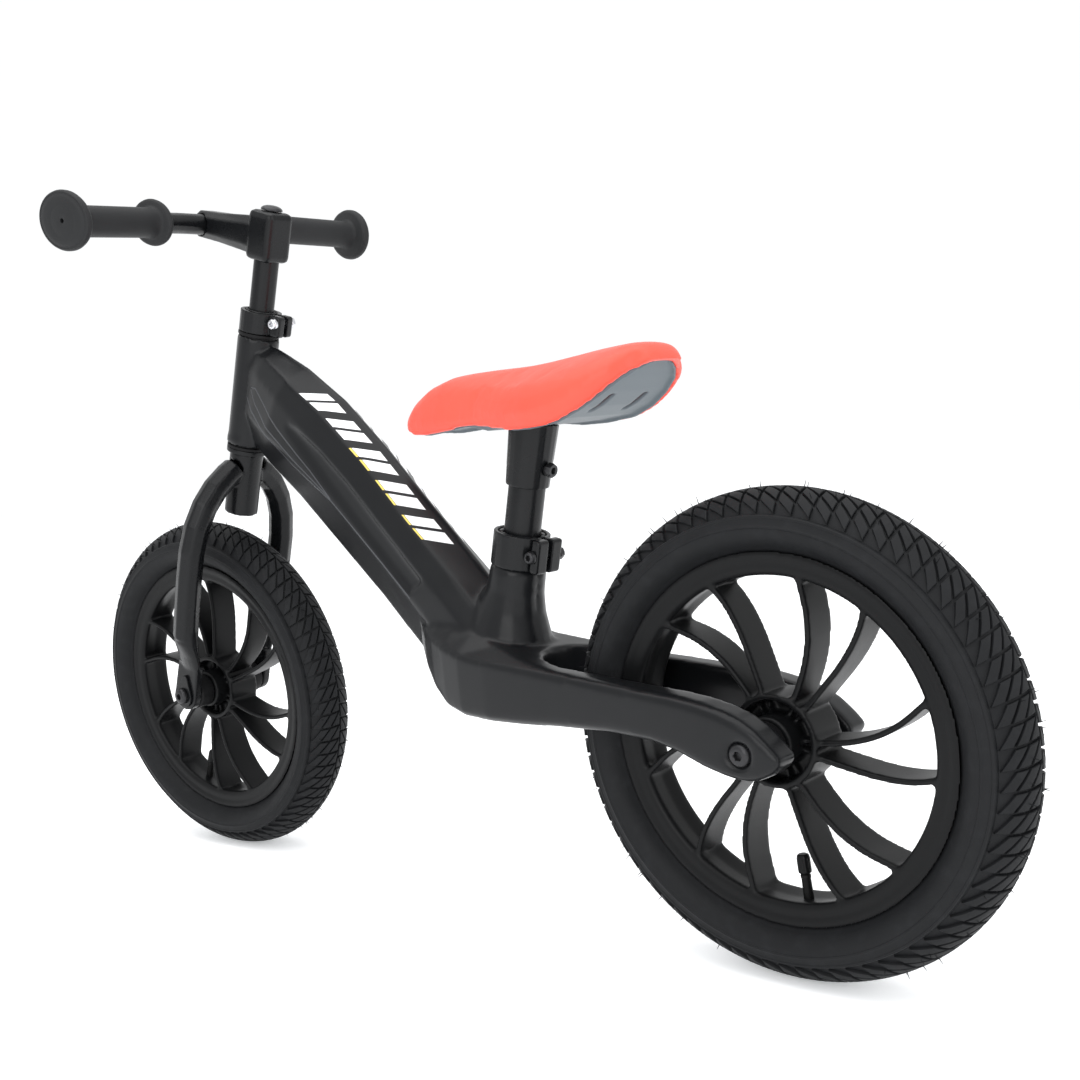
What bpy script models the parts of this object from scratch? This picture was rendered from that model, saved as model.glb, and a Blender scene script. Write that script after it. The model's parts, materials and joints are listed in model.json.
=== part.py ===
"""Child's balance bike with a one-piece cast frame, five joints and twelve-blade moulded wheels.

The bike is drawn with the rear tyre's contact point at (0, 0, 0), +X forward, +Y left, +Z up,
and moved at the end so that the origin is the middle of its footprint box.
Every length below is in millimetres; MM turns it into metres when a mesh is made.
"""
import math

import bmesh
import bpy
from mathutils import Matrix, Vector

MM = 0.001
GAP = 0.3                      # clearance between touching pieces

# Driving dimensions
WHEEL_RADIUS = 147.5           # outside of a 12 x 1.75 tyre
WHEELBASE = 574.3
HEAD_ANGLE = 21.0              # steering axis, degrees back from vertical
STEER_AT_REST = 5.4            # degrees to the left
SEAT_ANGLE = 15.1              # seat post, degrees back from vertical
SEAT_LINE = (193.0, 0.0, 275.0)  # seat post axis at the top of the clamp
BEAM_START = (442.0, 430.0)    # x, z where the beam's top meets the head tube
BEAM_SLOPE = 40.6              # degrees down towards the back
STAY_INNER = 31.0              # half gap between the rear stays
STAY_OUTER = 52.0              # rear bolt face
FORK_INNER = 36.0              # inner face of the fork's end plates
FORK_PLATE = 8.0
CROWN_TOP = 218.0              # heights along the steering axis, from the front axle
HEAD_LOW = 225.0
HEAD_HIGH = 316.0
STEERER_TOP = 337.0
HEAD_RADIUS = 17.0
HEAD_BORE = 15.2
STEERER_RADIUS = 12.7
STEERER_BORE = 10.3
STEM_RADIUS = 10.0
BAR_HEIGHT = 390.3             # handlebar along the steering axis
BAR_REACH = 70.0               # handlebar in front of the steering axis
BAR_RADIUS = 8.25
BAR_MIDDLE = 31.0              # half length of the straight middle
BAR_SWEEP = 8.0                # degrees back on each side
BAR_HALF = 149.5
GRIP_RADIUS = 11.5
POST_RADIUS = 12.7
AXLE_RADIUS = 5.0
BOLT_RADIUS = 3.0
HUB_HALF = 21.0
BEARING_RADIUS = 11.0
BEARING_INNER = 14.0           # from the wheel's middle to the bearing
SPOKE_PAIRS = 6
REAR_PHASE = 55.0              # first spoke pair, degrees up from straight ahead
FRONT_PHASE = 24.5
SEGMENTS = 40


# ---------------------------------------------------------------- scene and helpers

for stale in list(bpy.data.objects):
    bpy.data.objects.remove(stale)


def collection(name):
    """Make a collection in the scene."""
    made = bpy.data.collections.new(name)
    bpy.context.scene.collection.children.link(made)
    return made


PARTS = collection("balance_bike")
CUTTERS = collection("cutters")


def material(name, colour, roughness, metallic=0.0):
    """Make a Principled material."""
    made = bpy.data.materials.new(name)
    made.use_nodes = True
    shader = made.node_tree.nodes["Principled BSDF"]
    shader.inputs["Base Color"].default_value = (*colour, 1.0)
    shader.inputs["Roughness"].default_value = roughness
    shader.inputs["Metallic"].default_value = metallic
    return made


CAST = material("satin_black_cast", (0.022, 0.023, 0.025), 0.42)
TUBE_PAINT = material("satin_black_paint", (0.018, 0.019, 0.02), 0.38)
PLASTIC = material("black_plastic", (0.02, 0.021, 0.023), 0.5)
RUBBER = material("grip_rubber", (0.03, 0.032, 0.034), 0.62)
TYRE = material("tyre_rubber", (0.028, 0.028, 0.03), 0.75)
INNER = material("tube_rubber", (0.02, 0.02, 0.02), 0.5)
STEEL = material("zinc_steel", (0.6, 0.6, 0.62), 0.3, 1.0)
DARK_STEEL = material("black_oxide_steel", (0.03, 0.03, 0.033), 0.35, 0.8)
NYLON = material("grey_nylon", (0.3, 0.32, 0.34), 0.5)
PAN = material("grey_pan", (0.16, 0.19, 0.21), 0.5)
PAD = material("coral_pad", (0.9, 0.09, 0.06), 0.45)


def empty(name, parent, place):
    """Make an empty that carries pieces."""
    made = bpy.data.objects.new(name, None)
    PARTS.objects.link(made)
    made.parent = parent
    made.matrix_basis = place
    return made


def offset(x, y, z):
    """Translation given in millimetres."""
    return Matrix.Translation(Vector((x, y, z)) * MM)


def turn(degrees, axis):
    """Rotation given in degrees."""
    return Matrix.Rotation(math.radians(degrees), 4, axis)


ALONG_Y = turn(-90, "X")       # turns a Z axis to point left
FACE_SIDE = turn(90, "X")      # turns a flat outline to stand in the X-Z plane


def put(name, mesh, look, parent, place=Matrix(), cutter=False):
    """Place a mesh as a part, or as a hidden tool for a Boolean."""
    made = bpy.data.objects.new(name, mesh)
    mesh.materials.clear()
    mesh.materials.append(look)
    (CUTTERS if cutter else PARTS).objects.link(made)
    made.parent = parent
    made.matrix_basis = place
    if cutter:
        made.hide_render = True
        made.display_type = "WIRE"
    else:
        mesh.shade_smooth()
        mesh.set_sharp_from_angle(angle=math.radians(35))
    return made


def finish(name, shape, look, parent, place=Matrix(), cutter=False):
    """Turn a bmesh in millimetres into an object."""
    bmesh.ops.scale(shape, vec=(MM, MM, MM), verts=shape.verts)
    mesh = bpy.data.meshes.new(name)
    shape.to_mesh(mesh)
    shape.free()
    return put(name, mesh, look, parent, place, cutter)


def box(name, size, centre, look, parent, place=Matrix(), bevel=0.0, cutter=False):
    """Box of a size about a centre, with rounded edges where bevel is given."""
    shape = bmesh.new()
    bmesh.ops.create_cube(shape, size=1.0)
    bmesh.ops.scale(shape, vec=size, verts=shape.verts)
    bmesh.ops.translate(shape, vec=centre, verts=shape.verts)
    made = finish(name, shape, look, parent, place, cutter)
    if bevel:
        rounding = made.modifiers.new("rounded_edges", "BEVEL")
        rounding.width = bevel * MM
        rounding.segments = 2
        rounding.limit_method = "ANGLE"
    return made


def turned(name, profile, look, parent, place=Matrix(), segments=24, ring=False, cutter=False):
    """Turned shape: a profile of (radius, height) that runs down its outer side."""
    mesh = bpy.data.meshes.new(name)
    points = [(radius * MM, 0.0, height * MM) for radius, height in profile]
    edges = [(i, i + 1) for i in range(len(points) - 1)]
    if ring:
        edges.append((len(points) - 1, 0))
    mesh.from_pydata(points, edges, [])
    made = put(name, mesh, look, parent, place, cutter)
    screw = made.modifiers.new("turn", "SCREW")
    screw.axis = "Z"
    screw.steps = segments
    screw.render_steps = segments
    screw.use_merge_vertices = True
    screw.merge_threshold = 0.00001
    screw.use_smooth_shade = True
    return made


def rod(name, radius, low, high, look, parent, place=Matrix(), segments=24, cutter=False):
    """Plain round rod between two heights."""
    profile = [(0, high), (radius, high), (radius, low), (0, low)]
    return turned(name, profile, look, parent, place, segments, False, cutter)


def pipe(name, outer, inner, low, high, look, parent, place=Matrix(), segments=24):
    """Plain round tube between two heights."""
    profile = [(outer, high), (outer, low), (inner, low), (inner, high)]
    return turned(name, profile, look, parent, place, segments, True)


def from_curve(name, curve, look, parent, place, cutter):
    """Make a mesh of a curve, with its caps welded on, and remove the curve."""
    guide = bpy.data.objects.new(name + "_guide", curve)
    bpy.context.scene.collection.objects.link(guide)
    seen = guide.evaluated_get(bpy.context.evaluated_depsgraph_get())
    mesh = bpy.data.meshes.new_from_object(seen)
    bpy.data.objects.remove(guide)
    shape = bmesh.new()
    shape.from_mesh(mesh)
    bmesh.ops.remove_doubles(shape, verts=shape.verts, dist=0.00001)
    shape.to_mesh(mesh)
    shape.free()
    return put(name, mesh, look, parent, place, cutter)


def bent_tube(name, points, radius, look, parent, place=Matrix(), cutter=False, sides=2):
    """Round tube along points."""
    curve = bpy.data.curves.new(name, "CURVE")
    curve.dimensions = "3D"
    curve.bevel_depth = radius * MM
    curve.bevel_resolution = sides
    curve.use_fill_caps = True
    route = curve.splines.new("POLY")
    route.points.add(len(points) - 1)
    for knot, point in zip(route.points, points):
        knot.co = (*(Vector(point) * MM), 1.0)
    return from_curve(name, curve, look, parent, place, cutter)


def flat(name, outline, thickness, look, parent, place=Matrix(), cutter=False):
    """Flat plate: an outline in X and Y, as thick as given about Z = 0."""
    curve = bpy.data.curves.new(name, "CURVE")
    curve.dimensions = "2D"
    curve.fill_mode = "BOTH"
    curve.extrude = thickness * MM / 2
    rim = curve.splines.new("POLY")
    rim.points.add(len(outline) - 1)
    for knot, (x, y) in zip(rim.points, outline):
        knot.co = (x * MM, y * MM, 0.0, 1.0)
    rim.use_cyclic_u = True
    return from_curve(name, curve, look, parent, place, cutter)


def loft(name, sections, look, parent, place=Matrix(), cutter=False):
    """Closed skin over rings that hold the same number of points."""
    shape = bmesh.new()
    rings = [[shape.verts.new(point) for point in section] for section in sections]
    count = len(rings[0])
    for near, far in zip(rings, rings[1:]):
        for i in range(count):
            j = (i + 1) % count
            shape.faces.new((near[i], near[j], far[j], far[i]))
    shape.faces.new(rings[0][::-1])
    shape.faces.new(rings[-1])
    bmesh.ops.recalc_face_normals(shape, faces=shape.faces)
    return finish(name, shape, look, parent, place, cutter)


def boolean(target, tool, operation):
    """Cut or join one object with another."""
    step = target.modifiers.new(tool.name, "BOOLEAN")
    step.operation = operation
    step.object = tool
    step.solver = "EXACT"


def cut(target, *tools):
    """Take tools away from a piece."""
    for tool in tools:
        boolean(target, tool, "DIFFERENCE")


def join(target, *tools):
    """Join tools to a piece."""
    for tool in tools:
        boolean(target, tool, "UNION")


def arc(cx, cy, radius, start, stop, count):
    """Points on an arc, with its angles in degrees."""
    angles = [math.radians(start + (stop - start) * i / count) for i in range(count + 1)]
    return [(cx + radius * math.cos(a), cy + radius * math.sin(a)) for a in angles]


def smooth(stops, where):
    """Value at a place between stops, eased so that the curve has no corners."""
    if where <= stops[0][0]:
        return stops[0][1]
    for (low, first), (high, last) in zip(stops, stops[1:]):
        if where <= high:
            part = (where - low) / (high - low)
            return first + (last - first) * part
    return stops[-1][1]


def hexagon(name, across, low, high, look, parent, place=Matrix(), cutter=False):
    """Six-sided nut, bolt head or key socket."""
    return rod(name, across / math.sqrt(3), low, high, look, parent, place, 6, cutter)


# ---------------------------------------------------------------- carriers

BIKE = empty("bike", None, Matrix())
STEERING = empty(
    "steering", BIKE,
    offset(WHEELBASE, 0, WHEEL_RADIUS) @ turn(-HEAD_ANGLE, "Y") @ turn(STEER_AT_REST, "Z"),
)
HEAD = empty("head_line", BIKE, offset(WHEELBASE, 0, WHEEL_RADIUS) @ turn(-HEAD_ANGLE, "Y"))
FRONT_HUB = empty("front_hub", STEERING, Matrix())
REAR_HUB = empty("rear_hub", BIKE, offset(0, 0, WHEEL_RADIUS))
SEAT = empty("seat_line", BIKE, offset(*SEAT_LINE) @ turn(-SEAT_ANGLE, "Y"))
BEAM = empty(
    "beam_line", BIKE,
    offset(BEAM_START[0], 0, BEAM_START[1]) @ turn(180, "Z") @ turn(BEAM_SLOPE, "Y"),
)


# ---------------------------------------------------------------- frame casting

def beam_section(along, lean, top, shoulder, side_top, side_low, keel):
    """Six-sided beam section; X runs down the beam, Z up across it."""
    half = [(0, top), shoulder, side_top, side_low, keel]
    ring = half + [(-y, z) for y, z in half[:0:-1]]
    return [(along - lean * (z + 15.6), y, z) for y, z in ring]


BEAM_SECTIONS = [
    beam_section(-16, 0.355, -9, (9, -13), (12, -25), (12, -58), (5, -78)),
    beam_section(8, 0.3, 2, (13, -7), (17.5, -20), (17.5, -54), (6, -79.5)),
    beam_section(45, 0.1, 10, (18, -2), (24, -16), (24, -48), (6, -80)),
    beam_section(90, 0, 14, (19, 1), (26, -16), (26, -44), (6, -79)),
    beam_section(150, 0, 11, (19, -1), (26, -18), (25.5, -43), (6, -81)),
    beam_section(210, 0, 5, (19.5, -8.5), (26, -24), (25.5, -47), (6, -83)),
    beam_section(270, 0, 0, (20, -12.5), (27, -27), (27, -50), (8, -86)),
    beam_section(312, 0, -6, (20, -17), (27, -31), (27, -54), (10, -86)),
]

BEAM_HOLLOW = [
    beam_section(34, 0.1, 3, (13, -6), (17.5, -18), (17.5, -44), (3, -70)),
    beam_section(90, 0, 8, (14, -4), (19.5, -18), (19.5, -42), (3, -70)),
    beam_section(150, 0, 5, (14, -6), (19.5, -20), (19.5, -41), (3, -72)),
    beam_section(225, 0, -2, (14, -14), (19.5, -27), (19.5, -46), (3, -72)),
]

# x, half width, bottom, height of the side's top edge, half width of the top, top
YOKE_STATIONS = [
    (-25.0, 50.5, 143.0, 147.0, 49.0, 148.0),
    (-19.0, 51.5, 137.0, 152.5, 49.0, 154.5),
    (-10.0, 52.0, 133.0, 160.0, 48.5, 162.5),
    (-1.0, 52.0, 131.5, 165.0, 48.0, 168.0),
    (11.0, 52.0, 133.5, 169.5, 48.0, 172.5),
    (25.0, 52.0, 137.5, 173.0, 47.5, 176.0),
    (44.0, 51.5, 145.0, 176.0, 47.0, 179.0),
    (62.0, 51.0, 149.5, 177.5, 46.5, 180.5),
    (96.0, 49.5, 152.0, 181.0, 45.0, 184.0),
    (140.0, 48.0, 151.5, 185.5, 43.0, 188.5),
    (172.0, 47.5, 150.5, 189.0, 38.0, 194.0),
    (198.0, 47.0, 150.5, 191.5, 30.0, 200.0),
    (224.0, 45.0, 152.0, 195.0, 27.0, 208.0),
    (243.0, 41.0, 156.5, 200.0, 24.0, 214.0),
    (258.0, 35.5, 166.0, 204.0, 22.0, 217.0),
    (270.0, 29.5, 178.0, 208.0, 18.0, 219.0),
    (280.0, 23.0, 192.0, 210.0, 14.0, 219.0),
]


def yoke_section(x, width, low, side, top_width, top):
    """Eight-sided section across the yoke, with its lower corners taken off."""
    corner = min(4.4, (side - low) / 3)
    half = [(top_width, top), (width, side), (width, low + corner), (width - corner, low)]
    return [(x, y, z) for y, z in half] + [(x, -y, z) for y, z in half[::-1]]


def seat_tube_ring(along, front, back, side):
    """Ring round the seat post line, fuller towards the front."""
    ring = []
    for i in range(20):
        angle = 2 * math.pi * i / 20
        reach = front if math.cos(angle) > 0 else back
        ring.append((reach * math.cos(angle), side * math.sin(angle), along))
    return ring


def make_frame():
    """One casting: head tube, beam, yoke, seat tube and both stays."""
    frame = loft("frame", BEAM_SECTIONS, CAST, BEAM)
    head_tube = turned(
        "head_tube_solid",
        [(0, HEAD_HIGH), (HEAD_RADIUS, HEAD_HIGH), (HEAD_RADIUS, HEAD_LOW + 8),
         (HEAD_RADIUS + 0.6, HEAD_LOW + 6), (HEAD_RADIUS + 0.6, HEAD_LOW), (0, HEAD_LOW)],
        CAST, HEAD, segments=28, cutter=True,
    )
    yoke = loft("yoke_solid", [yoke_section(*row) for row in YOKE_STATIONS], CAST, BIKE, cutter=True)
    seat_tube = loft(
        "seat_tube_solid",
        [seat_tube_ring(0, 16.5, 16.5, 16.5), seat_tube_ring(-24.5, 16.5, 16.5, 16.5),
         seat_tube_ring(-25.5, 19.5, 19.5, 19.5), seat_tube_ring(-42, 21, 20, 20),
         seat_tube_ring(-55, 31, 23, 22), seat_tube_ring(-70, 38, 30, 26),
         seat_tube_ring(-92, 38, 32, 28)],
        CAST, SEAT, cutter=True,
    )
    join(frame, head_tube, yoke, seat_tube)

    slot_half = STAY_INNER
    slot = flat(
        "wheel_slot",
        [(-40, -slot_half)] + arc(143, 0, slot_half, -90, 90, 12) + [(-40, slot_half)],
        120, CAST, BIKE, offset(0, 0, 165), cutter=True,
    )
    hollow = loft("beam_hollow", BEAM_HOLLOW, CAST, BEAM, cutter=True)
    yoke_hollow = loft(
        "yoke_hollow",
        [yoke_section(*row) for row in (
            (181.5, 28, 157, 178, 22, 182), (200, 39, 157, 180, 26, 186), (224, 38, 158, 186, 22, 192),
            (243, 33, 163, 190, 18, 197), (256, 25, 174, 192, 14, 199))],
        CAST, BIKE, cutter=True,
    )
    drain = rod("beam_drain", 7, -12, 50, CAST, BEAM, offset(0, 0, -40) @ turn(90, "Y"), 12, True)
    head_bore = rod("head_bore", HEAD_BORE, HEAD_LOW - 5, HEAD_HIGH + 5, CAST, HEAD, Matrix(), 28, True)
    seat_bore = rod("seat_bore", POST_RADIUS + GAP, -112, 5, CAST, SEAT, Matrix(), 24, True)
    seat_slit = box("seat_slit", (26, 3, 58), (-23, 0, -24), CAST, SEAT, cutter=True)
    cut(frame, slot, hollow, drain, yoke_hollow, head_bore, seat_bore, seat_slit)

    recess = [(66, -25), (78, -20.5), (112, -18), (150, -19.5), (202, -25), (252, -30),
              (246, -46), (184, -41), (134, -36), (94, -31), (72, -29.5)]
    for side in (-1, 1):
        pocket = flat(
            f"beam_pocket_{side}", recess, 10, CAST, BEAM,
            offset(0, side * (23.4 + 5), 0) @ FACE_SIDE, cutter=True,
        )
        cut(frame, pocket)
    bolt_seats = turned(
        "rear_bolt_way",
        [(0, 60), (8, 60), (8, STAY_OUTER - 4.7), (BOLT_RADIUS + GAP, STAY_OUTER - 4.7),
         (BOLT_RADIUS + GAP, 4.7 - STAY_OUTER), (8, 4.7 - STAY_OUTER), (8, -60), (0, -60)],
        CAST, REAR_HUB, ALONG_Y, 20, cutter=True,
    )
    cut(frame, bolt_seats)
    return frame


# ---------------------------------------------------------------- fork and headset

def make_fork():
    """Steerer, crown tube, two bent legs and their flattened end plates, welded into one."""
    fork = turned(
        "fork",
        [(STEERER_RADIUS, STEERER_TOP), (STEERER_RADIUS, CROWN_TOP), (14, CROWN_TOP), (14, 165),
         (STEERER_BORE, 165), (STEERER_BORE, STEERER_TOP)],
        TUBE_PAINT, STEERING, segments=28, ring=True,
    )
    route = [(11.8, 204), (19, 199.5), (31, 189), (41, 174.5), (47.5, 157), (50.5, 136),
             (50.8, 112), (50.2, 86), (49, 58)]
    for side, word in ((1, "left"), (-1, "right")):
        leg = bent_tube(
            f"fork_leg_{word}", [(0, side * across, up) for across, up in route], 11,
            TUBE_PAINT, STEERING, cutter=True, sides=2,
        )
        ends = []
        for up, across, long_half, thin_half in (
            (66, 49.3, 10.6, 10.6), (53, 48.0, 11.6, 9.4), (39, 43.5, 12.8, 6.2), (25, 40.0, 13.1, 3.9)
        ):
            ring = []
            for i in range(16):
                angle = 2 * math.pi * i / 16
                ring.append((long_half * math.cos(angle), side * (across + thin_half * math.sin(angle)), up))
            ends.append(ring)
        flattened = loft(f"fork_end_{word}", ends, TUBE_PAINT, STEERING, cutter=True)
        plate = flat(
            f"fork_plate_{word}",
            arc(0, 0, 13.5, 180, 360, 10) + [(12.5, 30), (-12.5, 30)], FORK_PLATE,
            TUBE_PAINT, STEERING, offset(0, side * (FORK_INNER + FORK_PLATE / 2), 0) @ FACE_SIDE,
            cutter=True,
        )
        join(fork, leg, flattened, plate)
        inside = [(6, 206), *[(across, up) for across, up in route[1:-1]], (49.3, 66)]
        core = bent_tube(
            f"fork_core_{word}", [(0, side * across, up) for across, up in inside], 9.3,
            TUBE_PAINT, STEERING, cutter=True, sides=1,
        )
        cut(fork, core)
    steerer_bore = rod("steerer_bore", STEERER_BORE, 150, 350, TUBE_PAINT, STEERING, Matrix(), 28, True)
    axle_way = rod("front_axle_way", BOLT_RADIUS + GAP, -70, 70, TUBE_PAINT, STEERING, ALONG_Y, 16, True)
    cut(fork, steerer_bore, axle_way)
    return fork


def make_headset():
    """Flanged bushes that the steerer turns in, and the ring that they rest on."""
    bore = STEERER_RADIUS + GAP
    body = HEAD_BORE - GAP
    turned(
        "lower_head_bush",
        [(body, HEAD_LOW + 15), (body, HEAD_LOW - GAP), (16.8, HEAD_LOW - GAP),
         (16.8, HEAD_LOW - 2.7), (bore, HEAD_LOW - 2.7), (bore, HEAD_LOW + 15)],
        NYLON, HEAD, ring=True, segments=24,
    )
    turned(
        "upper_head_bush",
        [(16.8, HEAD_HIGH + 2.7), (16.8, HEAD_HIGH + GAP), (body, HEAD_HIGH + GAP),
         (body, HEAD_HIGH - 15), (bore, HEAD_HIGH - 15), (bore, HEAD_HIGH + 2.7)],
        NYLON, HEAD, ring=True, segments=24,
    )
    pipe("crown_ring", 16.8, bore, CROWN_TOP + GAP, HEAD_LOW - 3, TUBE_PAINT, STEERING)


def make_clamp(prefix, parent, place, inner, outer, low, high, reach, half, lift, clamp_look, bolt_look):
    """Split collar with two ears, its bolt and its nut; the ears point along -X."""
    collar = pipe(f"{prefix}_clamp", outer, inner, low, high, clamp_look, parent, place)
    height = high - low
    middle = (high + low) / 2
    ears = box(
        f"{prefix}_clamp_ears", (reach - inner - 2.5, 2 * half, height),
        (-(reach + inner + 2.5) / 2, 0, middle), clamp_look, parent, place, 2.0, True,
    )
    split = box(
        f"{prefix}_clamp_split", (reach + 5, 4.4, height + 4), (-(reach + 5) / 2, 0, middle),
        clamp_look, parent, place, cutter=True,
    )
    bore = rod(f"{prefix}_clamp_bore", inner, low - 3, high + 3, clamp_look, parent, place, 24, True)
    bolt_place = place @ offset(5.0 - reach, 0, middle + lift) @ ALONG_Y
    way = rod(f"{prefix}_bolt_way", 2.5 + GAP, -40, 40, clamp_look, parent, bolt_place, 16, True)
    join(collar, ears)
    cut(collar, bore, split, way)
    bolt = turned(
        f"{prefix}_clamp_bolt",
        [(0, half + 4.5), (3.4, half + 4.5), (4.4, half + 3.5), (4.4, half + GAP),
         (2.5, half + GAP), (2.5, -half - 5), (0, -half - 5)],
        bolt_look, parent, bolt_place, 16,
    )
    key = hexagon(f"{prefix}_bolt_key", 4, half + 2, half + 6, bolt_look, parent, bolt_place, True)
    cut(bolt, key)
    nut = hexagon(f"{prefix}_clamp_nut", 8, -half - 4.3, -half - GAP, bolt_look, parent, bolt_place)
    nut_bore = rod(f"{prefix}_nut_bore", 2.5 + GAP, -40, 40, bolt_look, parent, bolt_place, 16, True)
    cut(nut, nut_bore)


# ---------------------------------------------------------------- stem and handlebar

def make_stem():
    """Sliding stem post, cast head with its forward arm, and the domed top bolt."""
    post = pipe("stem_post", STEM_RADIUS, 7.5, 252, 405, TUBE_PAINT, STEERING)
    head = box(
        "stem_head", (26.5, 26.5, 38.5), (0, 0, 394.2), CAST, STEERING, bevel=4.5,
    )
    arm = loft(
        "stem_arm",
        [[(x, y * sy, z0 + sz * z) for sy, sz in ring_points()] for x, y, z0, z in
         ((6, 12.5, 393, 15), (20, 12.5, 393, 14), (50, 12, 391.5, 11.5), (BAR_REACH + 6, 11.5, BAR_HEIGHT, 10.5),
          (BAR_REACH + 10.5, 11, BAR_HEIGHT, 7))],
        CAST, STEERING, cutter=True,
    )
    join(head, arm)
    bore = rod("stem_head_bore", STEM_RADIUS + GAP, 360, 405.3, CAST, STEERING, cutter=True)
    bolt_bore = rod("stem_bolt_bore", 4 + GAP, 380, 430, CAST, STEERING, Matrix(), 16, True)
    bar_bore = rod(
        "stem_bar_bore", BAR_RADIUS + GAP, -30, 30, CAST, STEERING,
        offset(BAR_REACH, 0, BAR_HEIGHT) @ ALONG_Y, 24, True,
    )
    cut(head, bore, bolt_bore, bar_bore)
    turned(
        "stem_top_bolt",
        [(0, 417.8), (4, 417.3), (7.5, 415.9), (8.5, 414.3), (4, 414.3), (4, 386), (0, 386)],
        DARK_STEEL, STEERING, segments=20,
    )
    return post


def ring_points():
    """Unit outline of the stem arm: a rectangle with its corners taken off."""
    return [(1, 0.55), (0.6, 1), (-0.6, 1), (-1, 0.55), (-1, -0.55), (-0.6, -1), (0.6, -1), (1, -0.55)]


def bar_side(side):
    """Line of one half of the handlebar; Z runs outwards along the grip."""
    corner = offset(BAR_REACH, side * BAR_MIDDLE, BAR_HEIGHT)
    return corner @ turn(side * BAR_SWEEP, "Z") @ (ALONG_Y if side > 0 else turn(90, "X"))


def make_handlebar():
    """Swept steel tube and its two flanged grips."""
    back = (BAR_HALF - BAR_MIDDLE) * math.sin(math.radians(BAR_SWEEP))
    out = BAR_MIDDLE + (BAR_HALF - BAR_MIDDLE) * math.cos(math.radians(BAR_SWEEP))
    soft = 6.0
    bend = math.tan(math.radians(BAR_SWEEP)) * soft
    left = [(BAR_REACH, BAR_MIDDLE - soft, BAR_HEIGHT),
            (BAR_REACH - bend / 4, BAR_MIDDLE, BAR_HEIGHT),
            (BAR_REACH - bend, BAR_MIDDLE + soft, BAR_HEIGHT),
            (BAR_REACH - back, out, BAR_HEIGHT)]
    points = [(x, -y, z) for x, y, z in left[::-1]] + left
    bar = bent_tube("handlebar", points, BAR_RADIUS, TUBE_PAINT, STEERING, sides=4)
    over = 5.0
    tip = (BAR_REACH - back - over * math.sin(math.radians(BAR_SWEEP)),
           out + over * math.cos(math.radians(BAR_SWEEP)), BAR_HEIGHT)
    inner_left = left[:3] + [tip]
    inner_points = [(x, -y, z) for x, y, z in inner_left[::-1]] + inner_left
    core = bent_tube("handlebar_core", inner_points, BAR_RADIUS - 1.6, TUBE_PAINT, STEERING, cutter=True)
    cut(bar, core)
    for side, word in ((1, "left"), (-1, "right")):
        make_grip(word, bar_side(side))


def make_grip(word, place):
    """Rubber grip: sleeve, inner flange and a closed oval end."""
    start = 27.0
    stop = BAR_HALF - BAR_MIDDLE
    grip = rod(f"{word}_grip", GRIP_RADIUS, start, stop + 3.3, RUBBER, STEERING, place)
    for name, centre, half, size, shift in (
        ("inner_flange", start + 3.0, 3.0, 17.6, 1.0), ("end_flange", stop + 0.2, 4.6, 21.3, 1.4)
    ):
        flange = turned(
            f"{word}_grip_{name}",
            [(0, half), (size - 3.4, half), (size - 0.8, half * 0.4), (size, -half * 0.2),
             (size - 1.2, -half * 0.8), (size - 4, -half), (0, -half)],
            RUBBER, STEERING, place @ offset(shift, 0, centre) @ Matrix.Diagonal((1.2, 1.0, 1.0, 1.0)),
            22, cutter=True,
        )
        join(grip, flange)
    bore = turned(
        f"{word}_grip_bore",
        [(0, stop + 20), (1.4, stop + 20), (1.4, stop + GAP), (BAR_RADIUS + GAP, stop + GAP),
         (BAR_RADIUS + GAP, start - 20), (0, start - 20)],
        RUBBER, STEERING, place, 20, cutter=True,
    )
    cut(grip, bore)


# ---------------------------------------------------------------- wheels

# (radius, degrees from the middle of the pair) along each blade of a pair
BLADE_LOW = [(25.8, 4.0), (44, 2.0), (62, -1.5), (78, -6.0), (90, -10.0), (99.5, -12.8)]
BLADE_HIGH = [(25.8, 21.5), (44, 20.0), (62, 18.9), (78, 17.0), (90, 14.8), (99.5, 12.3)]
BLADE_THICK = [(25.8, 5.0), (48, 3.6), (78, 3.6), (99.5, 5.2)]
BLADE_WIDTH = 27.0


def polar(radius, degrees):
    """Point in the wheel's plane."""
    return Vector((radius * math.cos(math.radians(degrees)), radius * math.sin(math.radians(degrees))))


def blade_outline(line, phase):
    """Outline of a blade of varying thickness about its centre line."""
    centre = [polar(radius, phase + lean) for radius, lean in line]
    left = []
    right = []
    for i, point in enumerate(centre):
        ahead = centre[min(i + 1, len(centre) - 1)]
        behind = centre[max(i - 1, 0)]
        along = (ahead - behind).normalized()
        half = smooth(BLADE_THICK, line[i][0]) / 2
        across = Vector((-along.y, along.x)) * half
        left.append(tuple(point + across))
        right.append(tuple(point - across))
    return right + left[::-1]


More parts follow.
